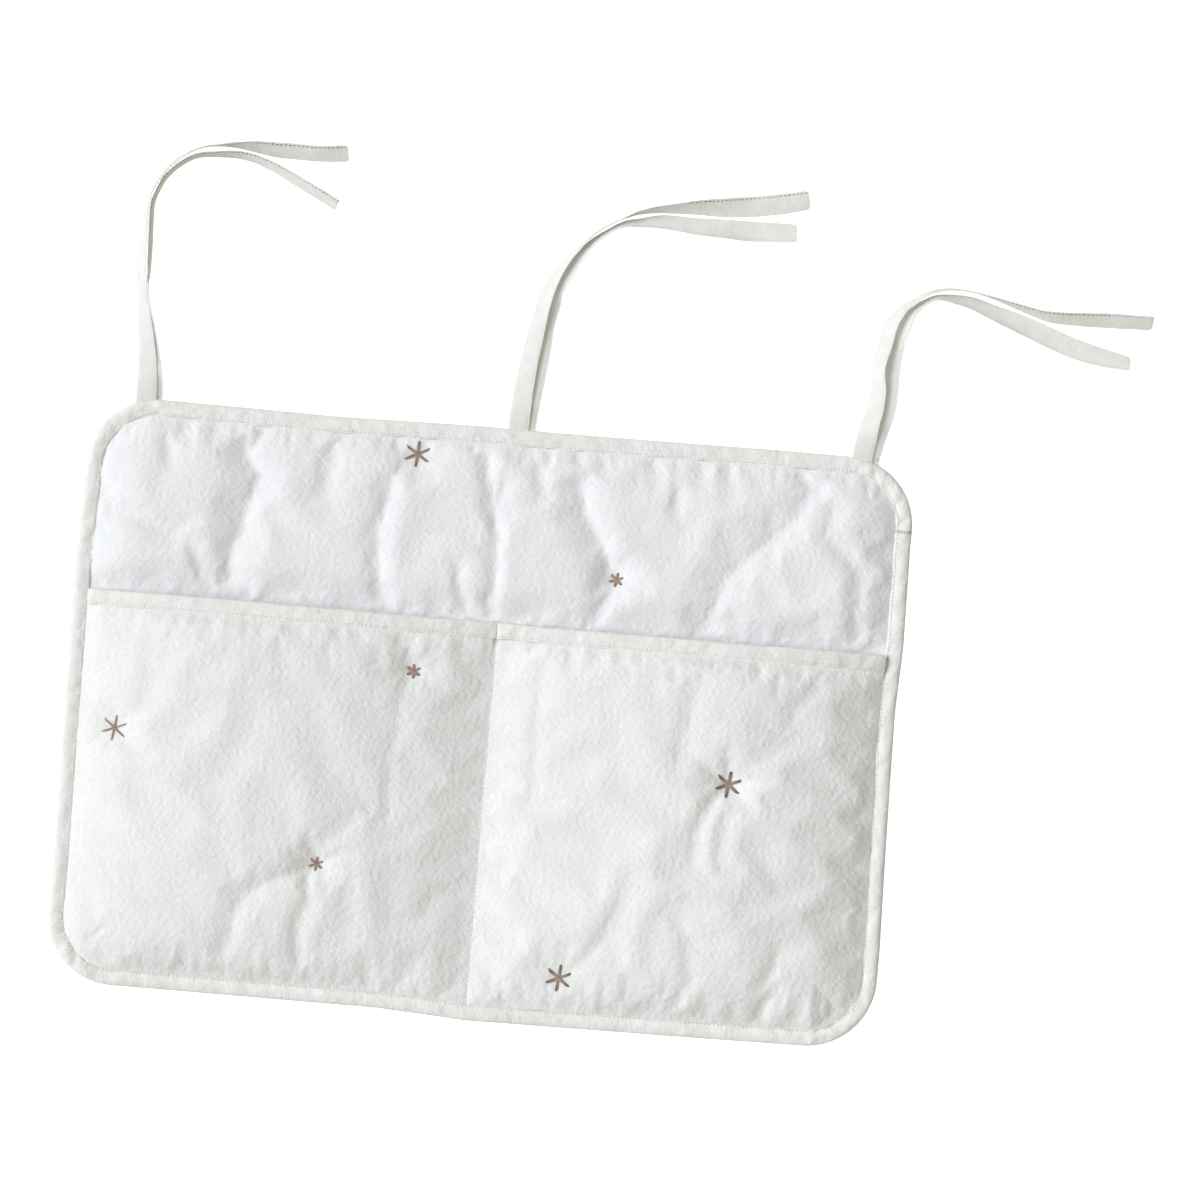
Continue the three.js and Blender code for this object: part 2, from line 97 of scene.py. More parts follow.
# The bound edge isn't quite straight: places along each side and how far the edge stands out there. The
# waves fade to nothing towards the panel's middle, over the distances from it that are given for each
# direction.
edgeWaves = {
    "bottom": ([-300, -60, -25, 5, 60, 180, 300], [0.7, 0.7, 2.4, 4.4, 3.9, 2.9, 1.2]),
    "top": (
        [-300, -250, -180, -120, -60, -20, 40, 120, 200, 300],
        [0, -0.3, -0.9, -1.6, -0.4, 0.3, 0, 0.4, 1.2, 0.8],
    ),
    "left": ([-212, -120, -60, 60, 100, 150, 212], [1, 0.2, 1.2, 2.2, 2.4, 0.6, -0.5]),
    "right": ([-212, -140, -80, -20, 30, 80, 150, 212], [1.4, 1.7, 0.2, -1, -1.8, 0.2, -0.9, 0]),
    "fadeX": (120, 300), "fadeY": (60, 212),
}


def waved(points):  # moves points near an edge with it
    x, y, z = np.asarray(points, float).reshape(-1, 3).T
    easeX, easeY = smooth(*edgeWaves["fadeX"], np.abs(x)), smooth(*edgeWaves["fadeY"], np.abs(y))
    waveX = np.where(x > 0, np.interp(y, *edgeWaves["right"]), -np.interp(y, *edgeWaves["left"]))
    waveY = np.where(y > 0, np.interp(x, *edgeWaves["top"]), -np.interp(x, *edgeWaves["bottom"]))
    return np.stack([x + waveX * easeX, y + waveY * easeY, z], axis=1)


# Small tools for meshes
def makeMesh(name, points, faces, materials, place=None, normals=None, faceSlots=None, isWaved=True):
    mesh = bpy.data.meshes.new(name)
    solid = waved(points) if isWaved else np.asarray(points, float)
    mesh.from_pydata((solid * mm).tolist(), [], [list(map(int, face)) for face in faces])
    mesh.shade_smooth()
    for material in materials:
        mesh.materials.append(material)
    if faceSlots is not None:
        mesh.polygons.foreach_set("material_index", np.asarray(faceSlots, np.int32))
    spot = np.asarray(points if place is None else place, float) * mm
    attribute = mesh.attributes.new("clothPlace", "FLOAT_VECTOR", "POINT")
    attribute.data.foreach_set("vector", spot.astype(np.float32).ravel())
    if normals is not None:
        mesh.normals_split_custom_set_from_vertices(np.asarray(normals, float).tolist())
    piece = bpy.data.objects.new(name, mesh)
    bpy.context.scene.collection.objects.link(piece)
    return piece


def unit(vectors):  # the same directions, each of length 1
    return vectors / np.linalg.norm(vectors, axis=-1, keepdims=True)


def gridNormals(points):  # points has rows, columns and x, y, z
    return unit(np.cross(np.gradient(points, axis=1), np.gradient(points, axis=0)))


def lengthsAlong(line):  # how far along a line of points each of them is
    return np.concatenate([[0], np.cumsum(np.linalg.norm(np.diff(line, axis=0), axis=1))])


def pointsAt(line, lengths, spots):  # points at distances along a line
    return np.stack([np.interp(spots, lengths, line[:, i]) for i in range(3)], axis=1)


def gridFaces(rows, columns, first=0, isClosed=False):
    steps = columns if isClosed else columns - 1
    row, column = np.meshgrid(np.arange(rows - 1), np.arange(steps), indexing="ij")
    near = first + row * columns + column
    beside = first + row * columns + (column + 1) % columns
    return np.stack([near, beside, beside + columns, near + columns], axis=-1).reshape(-1, 4)


def evenSteps(low, high, step):
    return np.linspace(low, high, max(2, round((high - low) / step) + 1))


def bendCorners(box, u, v):  # the square grid's lines turn with each round corner
    x, y = u.copy(), v.copy()
    middleX, middleY = (box["left"] + box["right"]) / 2, (box["bottom"] + box["top"]) / 2
    for cornerName in box["round"]:
        sideX = 1 if "Right" in cornerName else -1
        sideY = 1 if "top" in cornerName else -1
        centreX = (box["right"] if sideX > 0 else box["left"]) - sideX * box["radius"]
        centreY = (box["top"] if sideY > 0 else box["bottom"]) - sideY * box["radius"]
        outX, outY = (u - centreX) * sideX, (v - centreY) * sideY
        inCorner = (outX > 0) & (outY > 0) & ((u - middleX) * sideX > 0) & ((v - middleY) * sideY > 0)
        shrink = np.maximum(outX, outY) / np.maximum(np.hypot(outX, outY), 1e-9)
        x = np.where(inCorner, centreX + (u - centreX) * shrink, x)
        y = np.where(inCorner, centreY + (v - centreY) * shrink, y)
    return x, y


def finer(grid):  # one more point between each two, on a smooth curve through them
    for axis in (0, 1):
        lines = np.moveaxis(grid, axis, 0)
        ends = np.concatenate([2 * lines[:1] - lines[1:2], lines, 2 * lines[-1:] - lines[-2:-1]])
        doubled = np.empty((2 * len(lines) - 1,) + lines.shape[1:])
        doubled[::2] = lines
        doubled[1::2] = (9 * (ends[1:-2] + ends[2:-1]) - ends[:-3] - ends[3:]) / 16
        grid = np.moveaxis(doubled, 0, axis)
    return grid


# A closed sheet or pad between two grids of points. It can be cut to a range of columns, and then keeps the
# normals of the whole one.
def closedSheet(name, over, below, materials, columns=slice(None)):
    overNormals, belowNormals = gridNormals(over)[:, columns], -gridNormals(below)[:, columns]
    over, below = over[:, columns], below[:, columns]
    rows, count = over.shape[:2]
    faces = gridFaces(rows, count)
    underFaces = gridFaces(rows, count, rows * count)[:, ::-1]
    index = np.arange(rows * count).reshape(rows, count)
    rim = np.concatenate([index[0], index[1:, -1], index[-1, -2::-1], index[-2:0:-1, 0]])
    after = np.roll(rim, -1)
    walls = np.stack([rim, rim + rows * count, after + rows * count, after], axis=-1)
    points = np.concatenate([over.reshape(-1, 3), below.reshape(-1, 3)])
    normals = np.concatenate([overNormals.reshape(-1, 3), belowNormals.reshape(-1, 3)])
    place = points * (1, 1, 0)
    return makeMesh(name, points, np.concatenate([faces, underFaces, walls]), materials, place, normals)


# Where each point of a tape lies on its cloth, so that the weave runs along the tape
def tapePlace(across, along):
    shape = (len(along), len(across))
    return np.stack([
        np.broadcast_to(across, shape), np.broadcast_to(along[:, None], shape), np.zeros(shape),
    ], axis=2)


# A closed ring profile swept through rings. rings has steps, profile points and x, y, z. What is sewn
# through it comes as points, faces and places, and takes the second material.
def sweptPiece(name, rings, materials, place, isLoop=False, extra=None, normals=None, isWaved=True):
    steps, count = rings.shape[:2]
    points = rings.reshape(-1, 3)
    if isLoop:
        near = np.arange(steps)[:, None] * count
        far = (np.arange(steps)[:, None] + 1) % steps * count
        i = np.arange(count)[None, :]
        j = (i + 1) % count
        faces = np.stack([near + i, far + i, far + j, near + j], axis=-1).reshape(-1, 4).tolist()
    else:
        faces = gridFaces(steps, count, 0, True).tolist()
        last = (steps - 1) * count
        faces += [list(range(count))[::-1], [last + i for i in range(count)]]
    slots = [0] * len(faces)
    spot = place.reshape(-1, 3)
    if extra is not None:
        faces += [[corner + len(points) for corner in face] for face in extra[1]]
        slots += [1] * len(extra[1])
        points, spot = np.concatenate([points, extra[0]]), np.concatenate([spot, extra[2]])
    return makeMesh(name, points, faces, materials, spot, normals, slots, isWaved)


def toLinear(hexCode):
    channels = [int(hexCode[i:i + 2], 16) / 255 for i in (0, 2, 4)]
    return tuple(c / 12.92 if c <= 0.04045 else ((c + 0.055) / 1.055) ** 2.4 for c in channels) + (1,)


# Adds a node with its settings and links. A key is a socket's name or number, or else a property of the node.
def addNode(material, kind, settings=None, links=None):
    node = material.node_tree.nodes.new("ShaderNode" + kind)
    for key, value in (settings or {}).items():
        if isinstance(key, int) or key in node.inputs:
            node.inputs[key].default_value = value
        else:
            setattr(node, key, value)
    for key, source in (links or {}).items():
        material.node_tree.links.new(source, node.inputs[key])
    return node


def newMaterial(name):
    material = bpy.data.materials.new(name)
    material.use_nodes = True
    material.node_tree.nodes.clear()
    return material


wavePeriod = 0.314  # a wave texture's bands lie this far apart at a scale of 1


# Washed cotton: woven, then washed and tumbled, so the eye gets a dull cloth with short crinkles that lie
# every way but mostly along the warp. Each layer of crinkles has the width and length of one in mm, its
# turn in degrees, its finer detail and its depth in mm. Real threads lie 0.35 mm apart, too fine to show,
# so the weave is drawn at the spacing given here. blotch is the size of the slightly duller patches that
# washing leaves, and sheerness how much light goes through thin cloth.
def cottonMaterial(name, look, sheerness=0):
    material = newMaterial(name)
    spot = addNode(material, "Attribute", {"attribute_name": "clothPlace"}).outputs["Vector"]
    bands = [addNode(material, "TexWave", {
        "bands_direction": direction, "Scale": wavePeriod / (look["weave"] * mm), "Distortion": 0.6,
        "Detail": 1, "Detail Scale": 2,
    }, {"Vector": spot}).outputs["Fac"] for direction in ("X", "Y")]
    weave = addNode(material, "Math", {"operation": "MULTIPLY"}, {0: bands[0], 1: bands[1]}).outputs[0]
    woven = addNode(material, "Math", {"operation": "MULTIPLY", 1: look["weaveDepth"]}, {0: weave})
    height, patterns = woven.outputs[0], []
    for number, (width, length, turn, detail, depth) in enumerate(look["layers"]):
        placed = addNode(material, "Mapping", {  # each layer is moved on, so that no two line up
            "vector_type": "TEXTURE", "Location": (number * 0.031, number * 0.017, 0),
            "Rotation": (0, 0, math.radians(turn)), "Scale": (width * mm, length * mm, 1),
        }, {"Vector": spot})
        pattern = addNode(material, "TexNoise", {"Scale": 1, "Detail": detail, "Roughness": 0.55}, {
            "Vector": placed.outputs["Vector"],
        }).outputs["Fac"]
        raised = addNode(material, "Math", {"operation": "MULTIPLY_ADD", 1: depth}, {0: pattern, 2: height})
        height = raised.outputs[0]
        patterns.append(pattern)
    blotch = addNode(material, "TexNoise", {
        "Scale": 1 / (look["blotch"] * mm), "Detail": 1,
    }, {"Vector": spot})
    shade = addNode(material, "Math", {"operation": "MULTIPLY_ADD", 1: 0.9}, {
        0: blotch.outputs["Fac"], 2: patterns[0],
    })
    bump = addNode(material, "Bump", {"Strength": 1, "Distance": mm}, {"Height": height})
    share = addNode(material, "MapRange", {"From Min": 0.6, "From Max": 1.3}, {"Value": shade.outputs[0]})
    mixed = addNode(material, "Mix", {
        "data_type": "RGBA", 6: toLinear(look["light"]), 7: toLinear(look["dull"]),
    }, {0: share.outputs["Result"]})
    shader = addNode(material, "BsdfPrincipled", {
        "Roughness": look["roughness"], "IOR": 1.53, "Sheen Weight": look["sheen"], "Sheen Roughness": 0.5,
        "Subsurface Weight": sheerness, "Subsurface Radius": (1, 0.8, 0.6), "Subsurface Scale": 0.002,
    }, {"Base Color": mixed.outputs[2], "Normal": bump.outputs["Normal"]})
    addNode(material, "OutputMaterial", {}, {"Surface": shader.outputs["BSDF"]})
    return material


# The back's face is the coolest white of the caddy, with deep crinkles
faceCotton = cottonMaterial("washedCottonFace", {
    "light": "F2F1F3", "dull": "E9E9EC", "blotch": 24, "weave": 1.0, "weaveDepth": 0.03, "roughness": 0.9,
    "sheen": 0.1, "layers": [
        (1.4, 2.8, 10, 2, 0.14), (1.3, 2.4, -42, 1, 0.1), (2.8, 4.8, 48, 0.5, 0.45), (3.4, 6, -30, 0.5, 0.4)],
})
# The same cloth on the pockets, a little warmer
pocketCotton = cottonMaterial("washedCottonPocket", {
    "light": "F2F2F1", "dull": "E8E8E7", "blotch": 26, "weave": 1.0, "weaveDepth": 0.03, "roughness": 0.9,
    "sheen": 0.1, "layers": [
        (1.4, 2.8, 4, 2, 0.14), (1.3, 2.4, -38, 1, 0.1), (2.8, 4.8, 52, 0.5, 0.5), (3.4, 6, -26, 0.5, 0.45)],
})
# Bias tape: cut across the threads and pressed with an iron, so it is smoother and creamier than the faces
bindingCotton = cottonMaterial("pressedCottonTape", {
    "light": "F3F2F0", "dull": "E9E8E4", "blotch": 14, "weave": 0.9, "weaveDepth": 0.04, "roughness": 0.88,
    "sheen": 0.1, "layers": [(1.3, 2.6, 35, 2, 0.26), (1.4, 2.4, -45, 1, 0.18), (3, 4.6, 60, 1, 0.5)],
})
# The same tape, unlined and creased across; its colour is a shade duller than the binding's as painted shade,
# to hold back the key light on the tapes that stand up facing it
shadedTieCotton = cottonMaterial("softCottonTieTape", {
    "light": "EDEDEA", "dull": "E2E1DD", "blotch": 12, "weave": 0.9, "weaveDepth": 0.04, "roughness": 0.9,
    "sheen": 0.08, "layers": [(2.6, 1.3, 8, 2, 0.2), (1.5, 2.4, -40, 1, 0.12), (7, 4, 10, 1, 0.4)],
}, 0.6)
# Plain cotton that is never handled, so it is flatter and duller than the faces
liningCotton = cottonMaterial("plainCottonLining", {
    "light": "F0EFEB", "dull": "E6E4DE", "blotch": 34, "weave": 0.9, "weaveDepth": 0.05, "roughness": 0.92,
    "sheen": 0.08, "layers": [(1.6, 2.4, 0, 2, 0.14), (1.6, 3, 45, 1, 0.1), (8, 12, 10, 1, 0.35)],
})


# Spun thread: strands twisted round each other, so the eye gets slanting light and dark bands along it; the
# dark bands are also painted shade in the colour, in the grooves between strands. Its colour is deeper
# towards a sewn-down end, which the third part of its place gives: painted shade where the floss sinks into
# the cloth, and partly its own deeper tone where its twist tightens.
def threadMaterial(name, look):
    material = newMaterial(name)
    spot = addNode(material, "Attribute", {"attribute_name": "clothPlace"}).outputs["Vector"]
    twist = addNode(material, "TexWave", {
        "bands_direction": "DIAGONAL", "Scale": wavePeriod / (look["twist"] * mm), "Distortion": 0.4,
    }, {"Vector": spot})
    tone = addNode(material, "TexNoise", {"Scale": 1 / (look["patch"] * mm), "Detail": 1}, {"Vector": spot})
    worn = addNode(material, "Mix", {
        "data_type": "RGBA", 6: toLinear(look["dark"]), 7: toLinear(look["light"]),
    }, {0: tone.outputs["Fac"]})
    # Painted shade towards the sewn-down ends, where the floss sinks into the cloth, and partly its tighter
    # twist there
    towardsEnd = addNode(material, "SeparateXYZ", {}, {"Vector": spot}).outputs["Z"]
    atEnd = addNode(material, "MapRange", {
        "From Min": 0.25 * mm, "From Max": mm, "To Max": look["endShadeAndTwist"],
    }, {"Value": towardsEnd})
    shaded = addNode(material, "Mix", {"data_type": "RGBA", 7: toLinear(look["end"])}, {
        0: atEnd.outputs["Result"], 6: worn.outputs[2],
    })
    # Painted shade: the colour is darkened in the twist's bands, in the grooves between strands
    grooveShaded = addNode(material, "Mix", {
        "data_type": "RGBA", "blend_type": "MULTIPLY", 0: look["grooveShade"],
    }, {6: shaded.outputs[2], 7: twist.outputs["Color"]})
    bump = addNode(material, "Bump", {"Strength": 1, "Distance": look["depth"] * mm}, {
        "Height": twist.outputs["Fac"],
    })
    shader = addNode(material, "BsdfPrincipled", {
        "Roughness": look["roughness"], "IOR": 1.53, "Sheen Weight": 0.2, "Sheen Roughness": 0.4,
    }, {"Base Color": grooveShaded.outputs[2], "Normal": bump.outputs["Normal"]})
    addNode(material, "OutputMaterial", {}, {"Surface": shader.outputs["BSDF"]})
    return material


# Soft cotton floss of the stars, loosely twisted
starFloss = threadMaterial("taupeCottonFloss", {
    "dark": "9C8275", "light": "C9AC9C", "end": "544A44", "endShadeAndTwist": 1, "twist": 0.7, "patch": 3,
    "grooveShade": 0.25, "depth": 0.12, "roughness": 0.6,
})
# Sewing thread of the seams, hard twisted, with the same shade all along it
sewingThread = threadMaterial("creamSewingThread", {
    "dark": "DEDBD2", "light": "ECEAE3", "end": "DEDBD2", "endShadeAndTwist": 0, "twist": 0.5, "patch": 8,
    "grooveShade": 0.15, "depth": 0.05, "roughness": 0.65,
})
print("materials made")

# Tie tapes. The heights are those of the two tapes of a pair where they leave the binding, held there for
# the first stackedRows of their routes and then let down over dropRun. across and rise are the section of the
# folded tape, as shares of half its width and half its thickness: fuller in the middle, thin at its fold
# and at its sewn edge. ripple is the depth of the sewn edge's waves and rippleWaves the size and strength
# of the two kinds. softLight turns the normals up a little, because light comes through the thin tape.
tie = {
    "width": 15, "thickness": 1, "rootY": 212.8, "rearHeight": 1.5, "frontHeight": 3.4, "stackedRows": 3,
    "dropRun": 14, "clearance": 0.15, "stepsPerRow": 7, "tuckedIn": 6, "stitchInset": 1.7, "stitchPitch": 3.1,
    "stitch": (1.05, 0.22, 0.62), "ripple": 0.35, "rippleWaves": ((7, 0.6), (16, 1)), "rippleFade": (2, 20),
    "blendRun": 26, "endRun": 2.6, "endNarrow": 0.55, "softLight": 0.5,
    "rootX": {"left": -258, "centre": 11.1, "right": 261.9},
    "across": [-1, -0.97, -0.86, -0.77, -0.66, -0.4, 0, 0.4, 0.66, 0.86, 0.97, 1],
    "rise": [0.25, 0.7, 0.95, 0.5, 0.95, 1.1, 1.15, 1.1, 1.05, 1, 0.7, 0.25],
}
# Each route has rows of across and away from its root and the turn of the tape in degrees: at turn 0 it
# lies flat, at 90 it stands on its left edge, and past 90 it leans over to the left.
tieRoutes = {
    "leftFront": [
        (-3, 0, 0), (-3.1, 5, 4), (-3.4, 14, 13), (-5, 33, 27), (-8, 53, 40), (-11, 70, 52),
        (-13.5, 88, 57), (-14.4, 107, 58), (-15, 127, 60), (-14, 141, 65), (-11, 151, 69), (-5, 162, 70),
        (4, 172, 72), (17, 181, 77), (29, 185, 84), (45, 187, 97), (61, 187, 116), (76, 186, 128),
        (89, 186, 132), (109, 186, 132), (128, 188, 136),
    ],
    "leftRear": [
        (1, 0, 0), (0.9, 5, 4), (0.5, 14, 14), (-2.6, 33, 24), (-6.3, 53, 40), (-8.4, 70, 66),
        (-8.2, 88, 88), (-8.8, 107, 94), (-9.6, 127, 94), (-9.4, 141, 93), (-6.6, 150, 92),
        (-1.6, 160, 92), (6.4, 168.6, 92), (18.6, 176.6, 94), (33, 179, 98), (48, 180, 104),
        (62, 178, 108), (74, 174, 112), (89, 167, 116), (105, 159, 117), (123, 150, 117),
    ],
    "centreFront": [
        (-2, 0, 0), (-1.8, 6, 3), (-1.5, 13, 8), (-1, 21, 15), (1, 44, 26), (4, 65, 34), (6, 77, 40),
        (8, 88, 44), (11, 99, 49), (16, 112, 56), (23, 124, 66), (30, 133, 75), (38, 142, 80),
        (49, 151, 82), (61, 158, 86), (75, 164, 96), (89, 167, 106), (112, 170, 126), (133, 172, 148),
        (155, 175, 170), (177, 179, 164), (194, 183, 150),
    ],
    "centreRear": [
        (3, 0, 0), (3.4, 6, 0), (4, 13, 3), (5, 21, 7), (8, 45, 16), (10, 63, 18), (11, 77, 19),
        (14, 91, 22), (16, 101, 32), (21, 110, 43), (28, 122, 52), (34, 131, 61), (42, 140, 67),
        (52, 148, 72), (63, 154, 68), (75, 156, 58), (90, 158, 42), (112, 157, 30), (133, 157, 18),
        (156, 157, 6), (187, 158, 24),
    ],
    "rightFront": [
        (-3, 0, 0), (-2.4, 6, 4), (-1.3, 13, 13), (0, 21, 28), (3, 36, 38), (4, 50, 46), (3, 65, 54),
        (6, 82, 50), (9, 96, 53), (15, 108, 66), (26, 117, 74), (35, 123, 78), (44, 126, 80),
        (55, 127, 82), (68, 126, 85), (83, 123, 90), (97, 119, 98), (113, 115, 107), (124, 113, 116),
        (145, 113, 124), (167, 114, 130), (198, 115, 128),
    ],
    "rightRear": [
        (2, 0, 0), (3.4, 6, 0), (5, 13, 3), (7, 21, 8), (11, 36, 24), (12, 50, 30), (12, 63, 28),
        (14, 81, 38), (18, 94, 52), (24, 108, 64), (33, 116, 72), (41, 120, 72), (53, 120, 60),
        (67, 118, 47), (82, 113, 35), (98, 108, 22), (113, 103, 8), (129, 97, 2), (144, 92, 4),
        (160, 88, 18), (184, 84, 44),
    ],
}


# Centripetal Catmull-Rom curve through rows of numbers, stepped evenly between each two rows
def smoothRows(rows, stepsPerRow):
    rows = np.asarray(rows, float)
    ends = np.vstack([2 * rows[0] - rows[1], rows, 2 * rows[-1] - rows[-2]])
    made = []
    for i in range(len(rows) - 1):
        a, b, c, d = ends[i:i + 4]
        gaps = [max(np.linalg.norm((q - p)[:2]) ** 0.5, 1e-3) for p, q in ((a, b), (b, c), (c, d))]
        leave = ((b - a) / gaps[0] - (c - a) / (gaps[0] + gaps[1]) + (c - b) / gaps[1]) * gaps[1]
        arrive = ((c - b) / gaps[1] - (d - b) / (gaps[1] + gaps[2]) + (d - c) / gaps[2]) * gaps[1]
        for step in range(stepsPerRow + (i == len(rows) - 2)):
            t = step / stepsPerRow
            made.append(
                b + leave * t + (3 * (c - b) - 2 * leave - arrive) * t ** 2
                + (2 * (b - c) + leave + arrive) * t ** 3
            )
    return np.array(made)


# Stitches as small spindles: middles, directions along and out of the cloth, with half lengths, widths and
# heights. Each has a tip, four corners near it, four near the other end, and the other tip.
def stitchSolids(middles, alongs, outs, half, wide, high):
    sides = unit(np.cross(alongs, outs))
    outline = [(-1, 0, 0), (-0.55, 1, 0), (-0.55, 0, 1), (-0.55, -1, 0), (-0.55, 0, -1),
               (0.55, 1, 0), (0.55, 0, 1), (0.55, -1, 0), (0.55, 0, -1), (1, 0, 0)]
    shape = np.array(outline) * (half, wide, high)
    points = middles[:, None] + shape[None, :, 0:1] * alongs[:, None] + shape[None, :, 1:2] * sides[:, None]
    points = points + shape[None, :, 2:3] * outs[:, None]
    faces = []
    for first in range(0, len(middles) * len(outline), len(outline)):
        for i in range(4):
            j = (i + 1) % 4
            faces.append([first, first + 1 + i, first + 1 + j])
            faces.append([first + 1 + i, first + 5 + i, first + 5 + j, first + 1 + j])
            faces.append([first + 9, first + 5 + j, first + 5 + i])
    place = np.tile(shape[:, [1, 0, 2]], (len(middles), 1))
    return points.reshape(-1, 3), faces, place


# Evenly spaced places along a line of points, with the direction there
def stitchPlaces(line, pitch, probe=0.4):
    lengths = lengthsAlong(line)
    spots = np.arange(pitch / 2, lengths[-1], pitch)
    alongs = pointsAt(line, lengths, spots + probe) - pointsAt(line, lengths, spots - probe)
    return pointsAt(line, lengths, spots), unit(alongs)


# A row of stitches on cloth that faces up, as a piece of its own
def seamStitches(name, line, pitch, sizes):
    middles, alongs = stitchPlaces(line, pitch)
    outs = np.tile((0.0, 0.0, 1.0), (len(middles), 1))
    points, faces, place = stitchSolids(middles, alongs, outs, *sizes)
    return makeMesh(name, points, faces, [sewingThread], place)


# Points along the middle of a tie with how far the tape is turned at each, closer together at its rounded end
def tieLine(placeName, layerName):
    rootHeight = tie["frontHeight"] if layerName == "Front" else tie["rearHeight"]
    route = tieRoutes[placeName + layerName]
    rows = smoothRows(route, tie["stepsPerRow"])
    turns = np.radians(rows[:, 2])
    resting = tie["width"] / 2 * np.sin(turns) + tie["thickness"] / 2 * np.abs(np.cos(turns))
    heldRun = route[tie["stackedRows"] - 1][1]
    held = rootHeight * (1 - smooth(heldRun, heldRun + tie["dropRun"], rows[:, 1]))
    heights = np.maximum(resting, held) + tie["clearance"]
    middles = np.stack([tie["rootX"][placeName] + rows[:, 0], tie["rootY"] + rows[:, 1], heights], axis=1)
    middles = np.vstack([middles[0] - (0, tie["tuckedIn"], 0), middles])
    lengths = lengthsAlong(middles)
    endSteps = tie["endRun"] * np.array([1.1, 0.8, 0.5, 0.25, 0.08, 0])
    spots = np.concatenate([lengths[lengths < lengths[-1] - tie["endRun"] - 0.5], lengths[-1] - endSteps])
    return pointsAt(middles, lengths, spots), np.interp(spots, lengths, np.concatenate([[0], turns]))


def addTie(placeName, layerName, seed):
    name = placeName + layerName + "Tie"
    middles, turns = tieLine(placeName, layerName)
    lengths = lengthsAlong(middles)
    tangents = np.gradient(middles, axis=0)
    left = np.stack([-tangents[:, 1], tangents[:, 0], np.zeros(len(turns))], axis=1)
    left[:2] = (-1, 0, 0)  # sewn in square
    left = unit(left)
    upward = np.array([0, 0, 1.0])
    wide = left * np.cos(turns)[:, None] - upward * np.sin(turns)[:, None]
    thick = left * np.sin(turns)[:, None] + upward * np.cos(turns)[:, None]
    half = tie["width"] / 2
    across = np.array(tie["across"]) * half
    rise = np.array(tie["rise"]) * (tie["thickness"] / 2)
    section = np.stack([np.concatenate([across[::-1], across]), np.concatenate([rise[::-1], -rise])], axis=1)
    (smallSize, smallShare), (wideSize, wideShare) = tie["rippleWaves"]
    ripple = softNoise(lengths, seed, smallSize, seed) * smallShare
    ripple = ripple + softNoise(lengths, seed + 9, wideSize, seed + 1) * wideShare
    endShare = np.clip(1 - (lengths[-1] - lengths) / tie["endRun"], 0, 1)
    endRound = (tie["endNarrow"] + (1 - tie["endNarrow"]) * np.sqrt(1 - endShare ** 2))[:, None, None]
    edge = np.clip(-section[:, 0] / half, 0, 1) ** 2  # the sewn edge ripples most
    wave = tie["ripple"] * ripple[:, None] * (0.3 + edge) * smooth(*tie["rippleFade"], lengths)[:, None]
    rings = middles[:, None] + wide[:, None] * section[:, :1] * endRound
    rings = rings + thick[:, None] * (section[:, 1:] + wave[:, :, None])
    rings[:, :, 2] = np.maximum(rings[:, :, 2], 0.05)  # above the floor
    sewn = middles + wide * (-(half - tie["stitchInset"]))
    spots, alongs = stitchPlaces(sewn[2:], tie["stitchPitch"])
    nearest = np.array([np.argmin(np.linalg.norm(sewn - spot, axis=1)) for spot in spots])
    points, faces, stitchSpots = stitchSolids(spots, alongs, thick[nearest], *tie["stitch"])
    around = np.roll(rings, -1, axis=1) - np.roll(rings, 1, axis=1)
    normals = np.cross(np.gradient(rings, axis=0), around)
    normals *= np.sign((normals[:, 5] * thick).sum(axis=1))[:, None, None]
    stitchNormals = np.repeat(thick[nearest], len(points) // len(spots), axis=0)
    normals = unit(np.concatenate([normals.reshape(-1, 3), stitchNormals]))
    normals[:, 2] += tie["softLight"] * smooth(-0.1, 0.4, normals[:, 2])
    stitches = (points, faces, stitchSpots)
    place = tapePlace(section[:, 0], lengths)
    piece = sweptPiece(name, rings, [shadedTieCotton, sewingThread], place, False, stitches, unit(normals), False)
    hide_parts(f"{placeName}_tie_{layerName.lower()}")
    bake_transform(piece)
    print(name, "is", round(float(lengths[-1])), "mm long")


for number, placeName in enumerate(("left", "centre", "right")):
    addTie(placeName, "Front", 20 + number)
    addTie(placeName, "Rear", 30 + number)
print("ties made")

# Panel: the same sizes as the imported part, with insets from its outline and heights from the ground.
# Puckers have a seed, a depth, how far they run from the seam and their spacing. looseness has the share of
# spare cloth, how much it varies, over what distance, and a seed, and quilting the depth under a star, the
# depth between, its size and a seed.
panel = {
    "halfWidth": 300, "halfHeight": 212.5, "corner": 50, "rawInset": 2, "innerInset": 12.3, "liningEdge": 1.1,
    "liningStep": 2.5, "cloth": 0.6, "gap": 0.3, "edgeTop": 3.4, "bedRise": 1.6, "crown": 7.5, "crownRun": 36,
    "crownAboveMouth": 30, "crownStart": 10.8, "mouthY": 72, "grid": 4, "bedGrid": 8, "shownBelowMouth": 8,
    "seamRun": 12, "foldSeed": 3, "rumple": 0.6, "rumpleSeed": 41,
    "topPuckers": (51, 2.2, 13, 11), "mouthPuckers": (53, 0.7, 9, 12), "sidePuckers": (55, 1.0, 12, 13),
    "looseness": (0.55, 0.45, 60, 63), "mostLoose": 0.008, "quilting": (0.25, 0.1, 24, 61),
}
